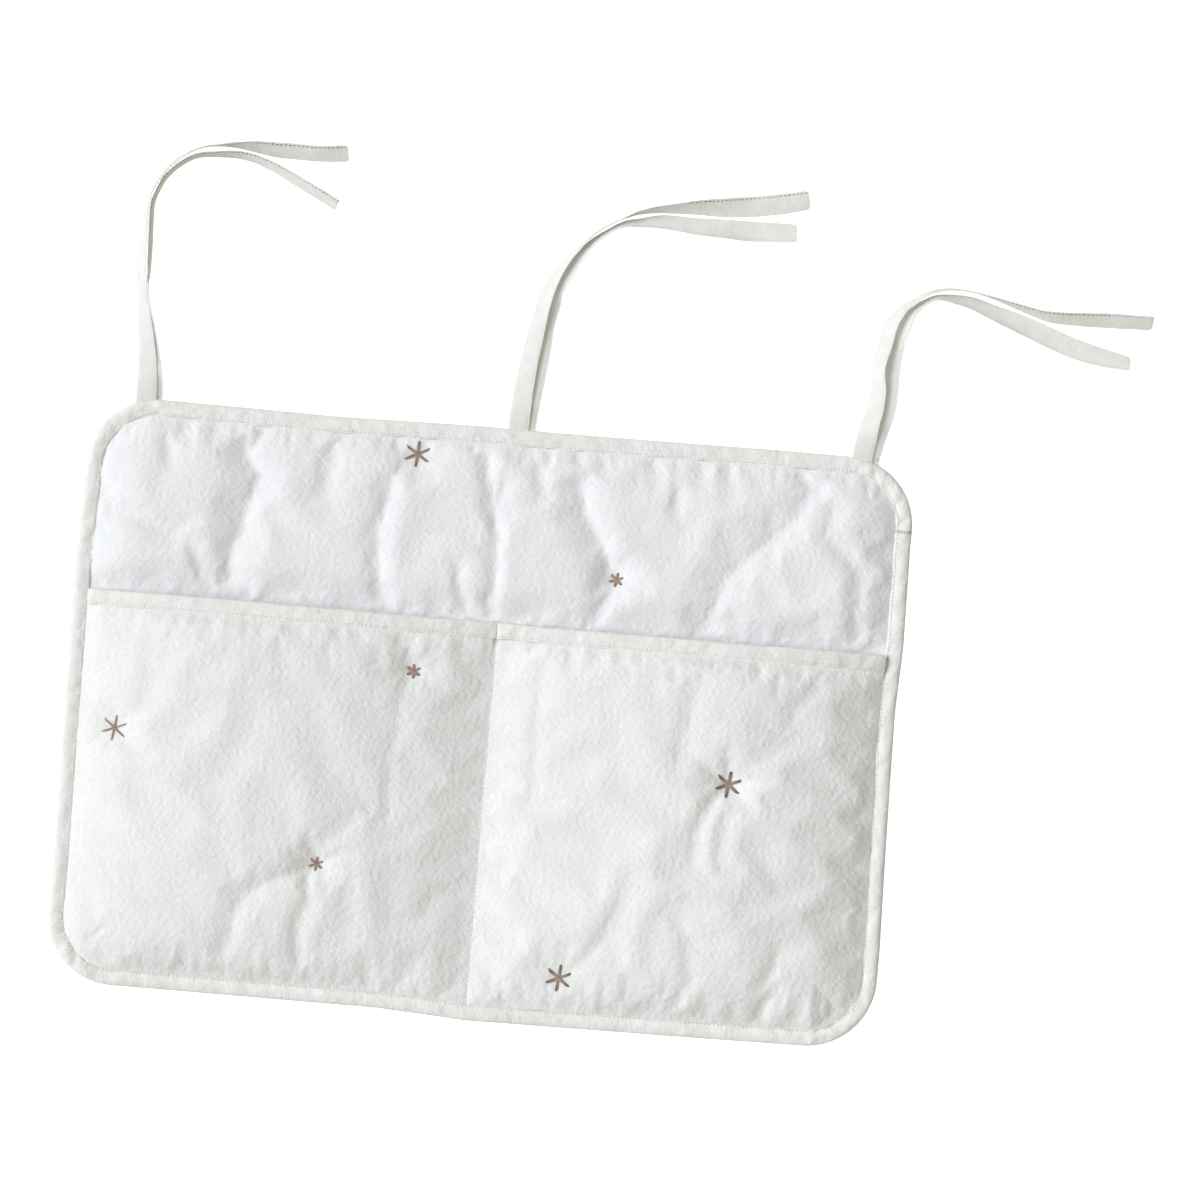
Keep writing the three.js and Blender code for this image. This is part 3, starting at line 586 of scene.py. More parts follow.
# Pocket fronts, in the same way. Each stands open across its whole width, so it is a broad crown, which
# rises more gently from the divider than from the outer side: by innerShare, and by innerRimShare for the
# thickness of its rim. Its edge reaches underTape beneath the edge binding. Puckers are those of the mouth,
# bottom, right and left seams.
pocket = {
    "dividerX": 6, "dividerWidth": 3, "bindingWidth": 11.5, "room": 9.6, "crownRun": 112,
    "riseShare": 0.4, "riseRun": 30, "riseLong": 110, "pad": 8.4, "padShare": 0.05, "padRun": 24,
    "pressed": 0.5, "lift": 1.1, "ramp": 8, "grid": 4, "rimStart": 0.3, "rimRun": 12, "seamRun": 14,
    "rumple": 0.45, "innerShare": 0.66, "innerRimShare": 0.3, "underTape": 0.7,
    "puckers": ((7, 1.3, 14, 9), (9, 2.2, 18, 11), (11, 0.8, 10, 12), (13, 0.6, 9, 12)),
}
# Sewn stars: middle, radius, body, replaced node, the first ray's turn in degrees and how full the floss is
stars = {
    "starBackLeft": (-62, 189, 10, "panel", "star_back_left", 26, 0.86),
    "starBackRight": (89, 110, 5.5, "panel", "star_back_right", 20, 0.84),
    "starLeftUpper": (-51, 32, 5.5, "left_pocket", "star_left_upper", 30, 0.86),
    "starLeftSide": (-261.2, -26.7, 10, "left_pocket", "star_left_side", 22, 0.66),
    "starLeftLower": (-108.9, -111.5, 5.5, "left_pocket", "star_left_lower", 24, 0.78),
    "starRightUpper": (181.8, -29.8, 10, "right_pocket", "star_right_upper", 22, 1),
    "starRightLower": (71.7, -176.2, 10, "right_pocket", "star_right_lower", 24, 0.95),
}


# The tuft that a star makes: how far it reaches past the star, its two sets of pleats with their number,
# turn and depth, and how far from the star's middle they begin and are whole
tuft = {"reach": 20, "pleats": ((5, 1, 0.08), (8, 2.3, 0.06)), "pleatStart": (2, 12)}


# How far a sewn star pulls the padding down: 0 at the star, 1 past its tuft, with pleats that run out from it
def tufted(bodyName, x, y):
    share = np.ones(np.shape(x))
    for number, (starX, starY, radius, starBody, _, _, _) in enumerate(stars.values()):
        if starBody != bodyName:
            continue
        away = np.hypot(x - starX, y - starY)
        angle = np.arctan2(y - starY, x - starX)
        pleat = sum(depth * np.cos(count * angle + turn * number) for count, turn, depth in tuft["pleats"])
        run = (tuft["reach"] + radius) * (1 + pleat * smooth(*tuft["pleatStart"], away))
        share = np.minimum(share, np.sin(np.minimum(away / run, 1) * math.pi / 2))
    return share


# Folds in the cloth: points of each valley from its upper end down, how far its left and right slopes run,
# and its depth
backFolds = [
    ([(-187, 190), (-176, 165), (-180, 145), (-186, 112), (-188, 81)], 30, 25.2, 4.8),
    ([(-221, 114), (-207, 84)], 8.1, 15.1, 2.1),
    ([(-284, 134), (-223, 109)], 15, 20.2, 2.1),
    ([(-80, 170), (-84, 120), (-82, 80)], 15, 15.1, 3),
    ([(-13, 192), (-6, 160), (0, 134), (0, 78)], 10.4, 8.4, 2.5),
    ([(1, 175), (0, 134)], 4.6, 13.4, 1.8),
    ([(-27, 118), (-23, 92), (-15, 75)], 7.4, 8.4, 2),
    ([(55, 181), (64, 152), (82, 121), (89, 110)], 27.7, 20.2, 4.6),
    ([(88, 106), (80, 88), (77, 76)], 17.3, 13.4, 3.2),
    ([(129, 183), (127, 158)], 8.1, 11.8, 2.1),
    ([(232, 191), (215, 165), (168, 115), (156, 76)], 30, 26.9, 3.3),
    ([(242, 177), (241, 153), (264, 130), (262, 78)], 13.9, 15.1, 1.7),
    ([(30, 192), (33, 160)], 9.2, 13.4, 1.5),
    ([(-120, 192), (-127, 150)], 12.7, 15.1, 2),
    ([(-245, 188), (-238, 160)], 8.1, 11.8, 1.6),
]
leftFolds = [
    ([(-112, -114), (-145, -129), (-158, -139), (-164, -155), (-166, -172), (-168, -186)], 15, 15.1, 2),
    ([(-113, -120), (-113, -145), (-117, -168), (-116, -188)], 9.2, 13.4, 1.6),
    ([(-84, -72), (-107, -99)], 9.2, 13.4, 0.9),
    ([(-285, -8), (-272, -20)], 3.5, 5, 0.9),
    ([(-272, -33), (-286, -44)], 3.5, 5, 0.9),
    ([(-58, 60), (-52, 34), (-58, 6), (-63, -82)], 7, 8.4, 0.7),
    ([(-240, 40), (-236, -10)], 16.2, 23.5, 0.6),
]
rightFolds = [
    ([(152, 39), (145, -24)], 11.6, 13.4, 1.3),
    ([(140, -6), (173, -22)], 9.2, 13.4, 1.3),
    ([(173, -38), (164, -64), (161, -99)], 16.2, 13.4, 1.7),
    ([(182, -49), (182, -91)], 6.9, 13.4, 1.3),
    ([(205, -70), (228, -110)], 11.6, 16.8, 0.9),
    ([(150, -120), (172, -150)], 10.4, 15.1, 1.1),
    ([(232, -140), (216, -176)], 13.9, 15.1, 1.6),
    ([(230, -169), (216, -198)], 12.7, 13.4, 1.5),
    ([(112, -120), (100, -150), (76, -174)], 9.2, 13.4, 0.9),
    ([(240, 50), (222, 10), (190, -26)], 11.6, 16.8, 0.6),
    ([(160, -140), (165, -170), (152, -196)], 8.1, 11.8, 1),
    ([(41, 50), (40, -60)], 6.9, 10.1, 0.7),
]


# What differs between the pockets: which way they lie from the divider, folds, seeds and how loose the
# cloth is
pocketSides = {
    "left": {
        "way": -1, "folds": leftFolds, "seed": 71, "mouthSeed": 121, "looseness": (0.35, 0.35, 70, 64),
        "mostLoose": 0.006, "baggyMiddle": (-135, -155), "baggyRadius": 50, "baggyShare": 0.3,
    },
    "right": {
        "way": 1, "folds": rightFolds, "seed": 81, "mouthSeed": 131, "looseness": (0.4, 0.35, 70, 65),
        "mostLoose": 0.008, "baggySide": (120, 200), "baggyShare": 0.25,
    },
}
# How a fold runs: the size and reach of its broad and its small wander, from where to where it fades in
# about its first point and out about its last, how round its valley is and how wide its pressed crease
folding = {
    "wander": (26, 2.6), "smallWander": (11, 1.2), "fadeIn": (-6, 9), "fadeOut": (-6, 12), "round": 1.8,
    "creaseWidth": 5,
}


# Height that the folds take away, and how near each place is to a valley
def foldedHeight(x, y, folds, seed):
    (size, sway), (smallSize, smallSway) = folding["wander"], folding["smallWander"]
    wanderX = x + sway * softNoise(x, y, size, seed) + smallSway * softNoise(x, y, smallSize, seed + 1)
    wanderY = y + sway * softNoise(x, y, size, seed + 2)
    height, crease = np.zeros(np.shape(x)), np.zeros(np.shape(x))
    for points, leftRun, rightRun, depth in folds:
        line = np.asarray(points, float)
        parts = np.linalg.norm(np.diff(line, axis=0), axis=1)
        starts = np.concatenate([[0], np.cumsum(parts)])
        nearest = np.full(np.shape(x), 1e9)
        isLeft, along = np.zeros(np.shape(x), bool), np.zeros(np.shape(x))
        for i, length in enumerate(parts):
            (x0, y0), (stepX, stepY) = line[i], (line[i + 1] - line[i]) / length
            reach = (wanderX - x0) * stepX + (wanderY - y0) * stepY
            held = np.clip(reach, 0, length)
            away = np.hypot(wanderX - x0 - held * stepX, wanderY - y0 - held * stepY)
            isNearer = away < nearest
            nearest = np.where(isNearer, away, nearest)
            isLeft = np.where(isNearer, (wanderX - x0) * stepY > (wanderY - y0) * stepX, isLeft)
            along = np.where(isNearer, starts[i] + reach, along)
        fade = smooth(*folding["fadeIn"], along) * smooth(*folding["fadeOut"], starts[-1] - along)
        rounded = np.hypot(nearest, folding["round"]) - folding["round"]
        share = rounded / np.where(isLeft, leftRun, rightRun)
        height -= depth * fade * np.clip(1 - share, 0, 1) ** 2
        crease = np.maximum(crease, fade * np.exp(-((nearest / folding["creaseWidth"]) ** 2)))
    return height, crease


# Uneven padding: broad soft hills and smaller ones between, each kind with its lean, how much shorter it is
# across than along the cloth's warp, its size and its height
rumples = [(0, 0.55, 42, 0.9), (0.25, 0.45, 17, 0.42), (-0.2, 0.5, 7.5, 0.14)]


def rumpledHeight(x, y, seed, amount):
    return amount * sum(
        softNoise(x + lean * y, y * narrow, size, seed + number) * height
        for number, (lean, narrow, size, height) in enumerate(rumples))


# Puckers that run from a seam into the cloth: away is the distance from it, along the place on it
def seamPuckers(away, along, seed, depth, run, spacing):
    sharp = softNoise(along, away * 0.25, spacing * 0.5, seed)
    wide = softNoise(along, away * 0.2, spacing, seed + 1)
    return depth * np.exp(-np.maximum(away, 0) / run) * smooth(0, 3.5, away) * (0.6 * sharp + 0.7 * wide)


def panelInset(u, v):
    return np.minimum(panel["halfWidth"] - np.abs(u), panel["halfHeight"] - np.abs(v))


def bedTop(u, v):
    share = (panelInset(u, v) - panel["innerInset"]) / (panel["corner"] - panel["innerInset"])
    return panel["edgeTop"] + panel["bedRise"] * np.clip(share, 0, 1)


def backTop(u, v, x, y):  # height, and how near each place is to a valley
    inset = panelInset(u, v) - panel["innerInset"]
    mouthY = panel["mouthY"]
    aboveMouth = smooth(mouthY - 2, mouthY + panel["crownAboveMouth"], v)
    crown = panel["crown"] * easeUp(panelInset(u, v) - panel["crownStart"], panel["crownRun"]) * aboveMouth
    crown = crown * tufted("panel", x, y)
    free = swell(inset, panel["seamRun"]) * smooth(mouthY - 4, mouthY + panel["seamRun"], v)
    folds, crease = foldedHeight(x, y, backFolds, panel["foldSeed"])
    puckers = seamPuckers(panel["halfHeight"] - v - panel["innerInset"], x, *panel["topPuckers"])
    puckers += seamPuckers(np.abs(v - mouthY), x, *panel["mouthPuckers"]) * (v > mouthY)
    puckers += seamPuckers(panel["halfWidth"] - np.abs(u) - panel["innerInset"], y, *panel["sidePuckers"])
    rumple = rumpledHeight(x, y, panel["rumpleSeed"], panel["rumple"])
    height = bedTop(u, v) + crown + (folds + rumple) * free + puckers
    return np.maximum(height, bedTop(u, v) - 0.4), crease * free


# Cloth simulation. The face cloth is a little larger than its place, lies on the padding, which holds it
# softly, and is held by its seams, stars and valleys, so it puffs and creases between them. cap is the
# furthest that it may move.
settling = {
    "frames": 20, "pressure": 0.5, "padHold": 0.1, "creaseHold": 0.8, "seamRun": 5, "starRun": 3.5,
    "mass": 0.3, "stretch": 15, "shear": 5, "bending": 5, "cap": 5,
}


def settleCloth(name, start, holdShare, looseShare, mostLoose):
    rows, columns = start.shape[:2]
    trial = makeMesh(name + "Trial", start.reshape(-1, 3), gridFaces(rows, columns), [], isWaved=False)
    held, tight = trial.vertex_groups.new(name="held"), trial.vertex_groups.new(name="tight")
    for i, (hold, loose) in enumerate(zip(holdShare.ravel().tolist(), looseShare.ravel().tolist())):
        held.add([i], hold, "REPLACE")
        tight.add([i], 1 - loose, "REPLACE")
    cloth = trial.modifiers.new("settle", "CLOTH")
    values = {
        "quality": 5, "mass": settling["mass"], "tension_stiffness": settling["stretch"],
        "compression_stiffness": settling["stretch"], "shear_stiffness": settling["shear"],
        "bending_stiffness": settling["bending"], "bending_damping": 0.5, "air_damping": 3,
        "pin_stiffness": 1, "vertex_group_mass": "held", "vertex_group_shrink": "tight",
        "shrink_min": -mostLoose, "shrink_max": 0, "use_pressure": True,
        "uniform_pressure_force": settling["pressure"],
    }
    for key, value in values.items():
        setattr(cloth.settings, key, value)
    cloth.settings.effector_weights.gravity = 0
    cloth.collision_settings.use_collision = False
    cloth.point_cache.frame_start, cloth.point_cache.frame_end = 1, settling["frames"]
    for frameNumber in range(1, settling["frames"] + 1):
        bpy.context.scene.frame_set(frameNumber)
    settledMesh = trial.evaluated_get(bpy.context.evaluated_depsgraph_get()).data
    settled = np.empty(rows * columns * 3)
    settledMesh.vertices.foreach_get("co", settled)
    trialMesh = trial.data
    bpy.data.objects.remove(trial)
    bpy.data.meshes.remove(trialMesh)
    bpy.context.scene.frame_set(1)
    moved = settled.reshape(start.shape) / mm - start
    far = np.linalg.norm(moved, axis=2, keepdims=True)
    print(name, "settled, at most", round(float(far.max()), 1), "mm")
    return start + moved * np.minimum(1, settling["cap"] / np.maximum(far, 1e-6))


def clothHold(bodyName, x, y, seamAway, crease):  # how firmly each point is held: 1 at seams and stars
    hold = np.maximum(settling["padHold"], settling["creaseHold"] * crease)
    hold = np.where(seamAway < settling["seamRun"], 1, hold)
    for starX, starY, _, starBody, _, _, _ in stars.values():
        if starBody == bodyName:
            away = np.hypot(x - starX, y - starY)
            hold = np.where((away < settling["starRun"]) | (away == away.min()), 1, hold)
    return hold


surfaces = {}  # grid lines and top heights of each padded cloth, for what is sewn on it


def keepSurface(bodyName, u, v, over):
    fineLines = finer(np.dstack([u, v]))
    surfaces[bodyName] = (fineLines[0, :, 0], fineLines[:, 0, 1], over[:, :, 2])


def spareCloth(x, y, looseness):  # the share of spare cloth at each place
    share, variation, size, seed = looseness
    return share + variation * softNoise(x, y, size, seed)


def heightOn(clothName, x, y):
    us, vs, top = surfaces[clothName]
    column = np.clip(np.searchsorted(us, x) - 1, 0, len(us) - 2)
    row = np.clip(np.searchsorted(vs, y) - 1, 0, len(vs) - 2)
    shareX = (x - us[column]) / (us[column + 1] - us[column])
    shareY = (y - vs[row]) / (vs[row + 1] - vs[row])
    low = top[row, column] * (1 - shareX) + top[row, column + 1] * shareX
    high = top[row + 1, column] * (1 - shareX) + top[row + 1, column + 1] * shareX
    return low * (1 - shareY) + high * shareY


def addBack():
    inset = panel["rawInset"]
    box = {
        "left": inset - panel["halfWidth"], "right": panel["halfWidth"] - inset,
        "bottom": inset - panel["halfHeight"], "top": panel["halfHeight"] - inset,
        "round": ["bottomLeft", "bottomRight", "topLeft", "topRight"], "radius": panel["corner"] - inset,
    }
    us = evenSteps(box["left"], box["right"], panel["grid"])
    shownFrom = panel["mouthY"] - panel["shownBelowMouth"]
    bedRows = evenSteps(box["bottom"], shownFrom, panel["bedGrid"])
    vs = np.concatenate([bedRows[:-1], evenSteps(shownFrom, box["top"], panel["grid"])])
    u, v = np.meshgrid(us, vs)
    x, y = bendCorners(box, u, v)
    top, crease = backTop(u, v, x, y)
    over = np.dstack([x, y, top])
    shown = slice(len(bedRows) - 1, None)
    seamAway = np.minimum(panelInset(u, v) - panel["innerInset"], v - panel["mouthY"] + 10)
    hold = clothHold("panel", x, y, seamAway, crease)
    loose = spareCloth(x, y, panel["looseness"])
    over[shown] = settleCloth("back", over[shown], hold[shown], loose[shown], panel["mostLoose"])
    over = finer(over)
    keepSurface("panel", u, v, over)
    step = np.clip((panelInset(u, v) - panel["innerInset"]) / panel["liningStep"], 0, 1)
    liningUnder = panel["liningEdge"] * (1 - step) + 0.02
    starDepth, depth, size, seed = panel["quilting"]
    quilted = starDepth * (1 - tufted("panel", x, y)) + depth * (1 + softNoise(x, y, size, seed)) * step
    liningOver = liningUnder + quilted + panel["cloth"]
    padUnder = finer(np.dstack([x, y, liningOver + panel["gap"]]))
    pad = closedSheet("backPad", over, padUnder, [faceCotton])
    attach(pad, "panel")
    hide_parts("back_wadding", "back_face")
    lining = closedSheet(
        "backLining", np.dstack([x, y, liningOver]), np.dstack([x, y, liningUnder + quilted]), [liningCotton])
    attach(lining, "panel")
    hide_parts("back_lining")


addBack()
print("back made")

pocketHalves = {}  # for each pocket, the x of its left seam, its middle and its right seam


def sideReach(sideName, ends, u, innerShare):  # distance from the side seams, counted shorter at the divider
    outer, inner = u - ends["left"], ends["right"] - u
    if sideName == "right":
        outer, inner = inner, outer
    return np.minimum(outer, innerShare * inner)


# Layers of a pocket front at places on its grid, how near each is to a valley, and how far from the seams
def pocketLayers(sideName, box, u, v, x, y):
    sideAway = np.minimum(u - box["left"], box["right"] - u)
    lowAway = v - box["bottom"]
    pressedY = panel["mouthY"] - pocket["bindingWidth"] - panel["gap"]
    lift = pocket["lift"] * np.clip((v - pressedY + pocket["ramp"]) / pocket["ramp"], 0, 1)
    bulge = easeUp(sideReach(sideName, box, u, pocket["innerShare"]), pocket["crownRun"]) * (
        pocket["riseShare"] * easeUp(lowAway, pocket["riseRun"])
        + (1 - pocket["riseShare"]) * easeUp(lowAway, pocket["riseLong"]))
    under = bedTop(u, v) + panel["gap"] + pocket["room"] * bulge + lift
    inset = np.minimum(np.minimum(sideAway, lowAway), pressedY - v)
    free = swell(inset, pocket["seamRun"])
    seed = pocketSides[sideName]["seed"]
    folds, crease = foldedHeight(x, y, pocketSides[sideName]["folds"], seed)
    rumple = rumpledHeight(x, y, seed + 5, pocket["rumple"])
    crown = (1 - pocket["padShare"]) * bulge * easeUp(inset, pocket["seamRun"])
    edge = pocket["padShare"] * easeUp(inset, pocket["padRun"])
    puffed = pocket["pad"] * tufted(sideName + "_pocket", x, y) * (edge + crown) + (folds + rumple) * free
    seams = ((pressedY - v, x), (lowAway, x), (box["right"] - u, y), (u - box["left"], y))
    for (away, along), (seedStep, depth, run, spacing) in zip(seams, pocket["puckers"]):
        puffed += seamPuckers(away, along, seed + seedStep, depth, run, spacing)
    rimReach = np.minimum(sideReach(sideName, box, u, pocket["innerRimShare"]), lowAway)
    rim = pocket["rimStart"] + (1 - pocket["rimStart"]) * easeUp(rimReach, pocket["rimRun"])
    lining = under + panel["cloth"] * (0.4 + 0.6 * rim)
    thickness = (2 * panel["gap"] + pocket["pressed"] + panel["cloth"]) * rim
    top = lining + thickness + np.maximum(puffed, -0.2) * rim
    return under, lining, top, crease * free, inset


def addPocket(sideName):
    look = pocketSides[sideName]
    way = look["way"]
    body = sideName + "_pocket"
    dividerX = pocket["dividerX"] + way * (pocket["dividerWidth"] / 2 + panel["gap"])
    outerX = way * (panel["halfWidth"] - panel["innerInset"] + pocket["underTape"])
    box = {
        "left": min(dividerX, outerX), "right": max(dividerX, outerX),
        "bottom": panel["innerInset"] - panel["halfHeight"] - pocket["underTape"],
        "top": panel["mouthY"] - pocket["lift"],
        "round": ["bottomLeft" if way < 0 else "bottomRight"],
        "radius": panel["corner"] - panel["innerInset"] + pocket["underTape"],
    }
    us = evenSteps(box["left"], box["right"], pocket["grid"])
    vs = evenSteps(box["bottom"], box["top"], pocket["grid"])
    u, v = np.meshgrid(us, vs)
    x, y = bendCorners(box, u, v)
    under, lining, top, crease, inset = pocketLayers(sideName, box, u, v, x, y)
    hold = clothHold(body, x, y, inset, crease)
    loose = spareCloth(x, y, look["looseness"])
    if sideName == "left":  # baggy by its lower star
        middleX, middleY = look["baggyMiddle"]
        baggyAway = (x - middleX) ** 2 + (y - middleY) ** 2
        loose += look["baggyShare"] * np.exp(-baggyAway / look["baggyRadius"] ** 2)
    else:  # baggy towards its outer side
        loose += look["baggyShare"] * smooth(*look["baggySide"], x)
    start = np.dstack([x, y, top])
    over = finer(settleCloth(sideName, start, hold, np.clip(loose, 0, 1), look["mostLoose"]))
    keepSurface(body, u, v, over)
    middle = len(us) // 2
    halves = {
        "West": (slice(0, middle + 1), slice(0, 2 * middle + 1), 0),
        "East": (slice(middle, None), slice(2 * middle, None), -1),
    }
    pocketHalves[sideName] = {"left": box["left"], "middle": us[middle], "right": box["right"]}
    padUnder = finer(np.dstack([x, y, lining + 0.15]))
    liningOver, liningUnder = np.dstack([x, y, lining]), np.dstack([x, y, under])
    for halfName, (columns, fineColumns, edge) in halves.items():
        start, end = (us[edge] * mm, 0, 0), (us[middle] * mm, 0, 0)
        pad = closedSheet(f"{sideName}PocketPad{halfName}", over, padUnder, [pocketCotton], fineColumns)
        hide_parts(f"{body}_wadding", f"{body}_face")
        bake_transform(pad)
        inner = closedSheet(
            f"{sideName}PocketLining{halfName}", liningOver, liningUnder, [liningCotton], columns)
        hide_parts(f"{body}_lining")
        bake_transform(inner)


addPocket("left")
addPocket("right")
print("pockets made")


def blendWith(piece):  # a piece on a pocket front: its transform is baked into its mesh
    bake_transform(piece)


# Seam between the pockets: the layers pressed flat, with a dip at each stitch
divider = {
    "low": -200.2, "high": 71, "halfWidth": 1.8, "grid": 1.0, "gridAcross": 0.6, "dip": 0.3, "pitch": 3,
    "thickness": 0.8, "unevenness": 0.15, "unevenSize": 9, "seed": 91, "stitch": (1.1, 0.26, 0.24),
}


def addDivider():
    middleX, half = pocket["dividerX"], divider["halfWidth"]
    us = evenSteps(middleX - half, middleX + half, divider["gridAcross"])
    vs = evenSteps(divider["low"], divider["high"], divider["grid"])
    u, v = np.meshgrid(us, vs)
    across = (u - middleX) / half
    dip = divider["dip"] * (1 - across ** 2) * (1 + 0.5 * np.cos(v * 2 * math.pi / divider["pitch"]))
    under = bedTop(u, v) + panel["gap"]
    uneven = divider["unevenness"] * softNoise(u, v, divider["unevenSize"], divider["seed"])
    top = under + divider["thickness"] - dip + uneven
    strip = closedSheet("dividerStrip", np.dstack([u, v, top]), np.dstack([u, v, under]), [pocketCotton])
    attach(strip, "panel")
    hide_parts("divider_seam")
    line = np.stack([np.full(len(vs), middleX), vs, top[:, len(us) // 2] + 0.1], axis=1)
    stitches = seamStitches("dividerStitches", line, divider["pitch"], divider["stitch"])
    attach(stitches, "panel")


addDivider()
print("divider made")

# Edge binding: tape folded round the raw edges. Its profile is rows of inset and height, from the inner
# edge underneath, round the fold and back over the top to the inner edge, and back inside. The puckers run
# slantwise over the tape and are deeper at the corners: broad and fine ones, a slow swell along the tape,
# and two sways of its inner edge, each with its size, seed and depth.
edgeTape = {
    "step": 2.2, "stitchInset": 10.6, "stitchAbove": 3.8, "pitch": 3, "stitch": (1.05, 0.26, 0.24),
    "puckers": 0.9, "straightShare": 0.6, "cornerShare": 0.45, "cornerFade": 12, "slant": 0.8,
    "broad": (6, 101, 1), "fine": (3.6, 103, 0.6), "swell": (31, 105, 0.25), "sway": (40, 107, 0.35),
    "smallSway": (9, 109, 0.2),
    "profile": [
        (12, 0.05), (6, 0.05), (2.0, 0.1), (0.6, 0.5), (0.1, 1.5), (0, 2.6), (0.35, 3.6), (1.3, 4.4),
        (2.9, 5), (4.8, 5.3), (6.8, 5.15), (8.6, 4.8), (10, 4.4), (10.6, 4.3), (11.4, 4.2), (12.2, 3.9),
        (11.4, 3.6), (6, 3.5), (1.6, 3.5), (1.1, 2.3), (1.6, 0.9), (6, 0.8), (11.6, 0.8),
    ],
}
stitchLift = 0.12  # how far the middle of a stitch lies over the tape


def outlinePoints(step):  # points round the panel with the way out at each, anticlockwise from the right side
    rows = []
    corners = [(1, 1), (-1, 1), (-1, -1), (1, -1)]
    for quarter, (sideX, sideY) in enumerate(corners):
        centreX = sideX * (panel["halfWidth"] - panel["corner"])
        centreY = sideY * (panel["halfHeight"] - panel["corner"])
        arcSteps = round(panel["corner"] * math.pi / 2 / step)
        for i in range(arcSteps + 1):
            angle = (quarter + i / arcSteps) * math.pi / 2
            outX, outY = math.cos(angle), math.sin(angle)
            rows.append((centreX + panel["corner"] * outX, centreY + panel["corner"] * outY, outX, outY))
        side = panel["halfWidth"] if quarter % 2 == 0 else panel["halfHeight"]
        run = 2 * (side - panel["corner"])
        sideSteps = round(run / step)
        x0, y0, outX, outY = rows[-1]
        for i in range(1, sideSteps):
            rows.append((x0 - outY * run * i / sideSteps, y0 + outX * run * i / sideSteps, outX, outY))
    return np.array(rows)


# Soft noise of the size, seed and depth given, which joins up after a loop of that length
def loopNoise(along, across, kind, loop):
    size, seed, depth = kind
    joined = smooth(loop - 3 * size, loop, along)
    before, after = softNoise(along, across, size, seed), softNoise(along - loop, across, size, seed)
    return depth * (before * (1 - joined) + after * joined)


def stitchRow(tape):  # the point of a tape's profile that the stitches run along, on its top side
    inset, height = np.array(tape["profile"]).T
    return int(np.argmin(np.abs(inset - tape["stitchInset"]) + 9 * (height < tape["stitchAbove"])))


def addEdgeBinding():
    outline = outlinePoints(edgeTape["step"])
    inset, height = np.array(edgeTape["profile"]).T
    steps = np.hypot(*(np.roll(outline[:, :2], -1, axis=0) - outline[:, :2]).T)
    distances = np.concatenate([[0], np.cumsum(steps)[:-1]])
    loop = steps.sum()
    x, y, outX, outY = outline.T[:, :, None]
    along = distances[:, None]
    straightX, straightY = panel["halfWidth"] - panel["corner"], panel["halfHeight"] - panel["corner"]
    fromCorner = (np.abs(np.abs(x) - straightX) * (np.abs(x) < straightX)
                  + np.abs(np.abs(y) - straightY) * (np.abs(y) < straightY))
    onCorner = 1 - smooth(0, edgeTape["cornerFade"], fromCorner)
    isTop = smooth(2.2, 3.6, height) * (1 - 0.6 * smooth(10, 12, inset))
    slant = inset * edgeTape["slant"]
    pucker = loopNoise(along + slant, inset * 0.3, edgeTape["broad"], loop)
    pucker = pucker + loopNoise(along - slant, inset, edgeTape["fine"], loop)
    depth = edgeTape["puckers"] * (edgeTape["straightShare"] + edgeTape["cornerShare"] * onCorner)
    z = height + isTop * (depth * pucker * smooth(0, 3, inset) + loopNoise(along, 5, edgeTape["swell"], loop))
    sway = loopNoise(along, 0, edgeTape["sway"], loop) + loopNoise(along, 3, edgeTape["smallSway"], loop)
    reach = inset + sway * smooth(8, 12, inset)
    rings = np.stack([x - outX * reach, y - outY * reach, np.maximum(z, 0.03)], axis=2)
    place = tapePlace(inset + 20 * (height < 1), distances)  # its underside is another part of the cloth
    tape = sweptPiece("edgeTape", rings, [bindingCotton], place, True)
    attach(tape, "panel")
    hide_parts("edge_binding")
    seat = stitchRow(edgeTape)
    line = np.vstack([rings[:, seat], rings[:1, seat]]) + (0, 0, stitchLift)
    stitches = seamStitches("edgeStitches", line, edgeTape["pitch"], edgeTape["stitch"])
    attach(stitches, "panel")


addEdgeBinding()
print("edge binding made")

# Mouth bindings: rows of distance down from the mouth and height over the pocket's lining
mouthTape = {
    "step": 2.5, "stitchInset": 9.9, "stitchAbove": 3, "pitch": 3, "stitch": (1.05, 0.26, 0.24),
    "puckers": 0.55, "sway": 0.5, "swaySize": 46, "endHeight": 0.72, "endRun": 2.5, "dividerOverlap": 1.6,
    "profile": [
        (11.5, -1.1), (5, -1.1), (1.6, -1.0), (0.5, -0.5), (0.05, 0.4), (0, 1.3), (0.25, 2.3), (1, 3.2),
        (2.4, 3.8), (4.6, 4.0), (7, 3.8), (8.8, 3.4), (9.9, 3.1), (10.9, 3.3), (11.5, 3.15), (11.55, 2.75),
        (10.8, 2.55), (5, 2.5), (1.4, 2.5), (0.9, 1.2), (1.4, -0.3), (5, -0.3), (11.3, -0.3),
    ],
}


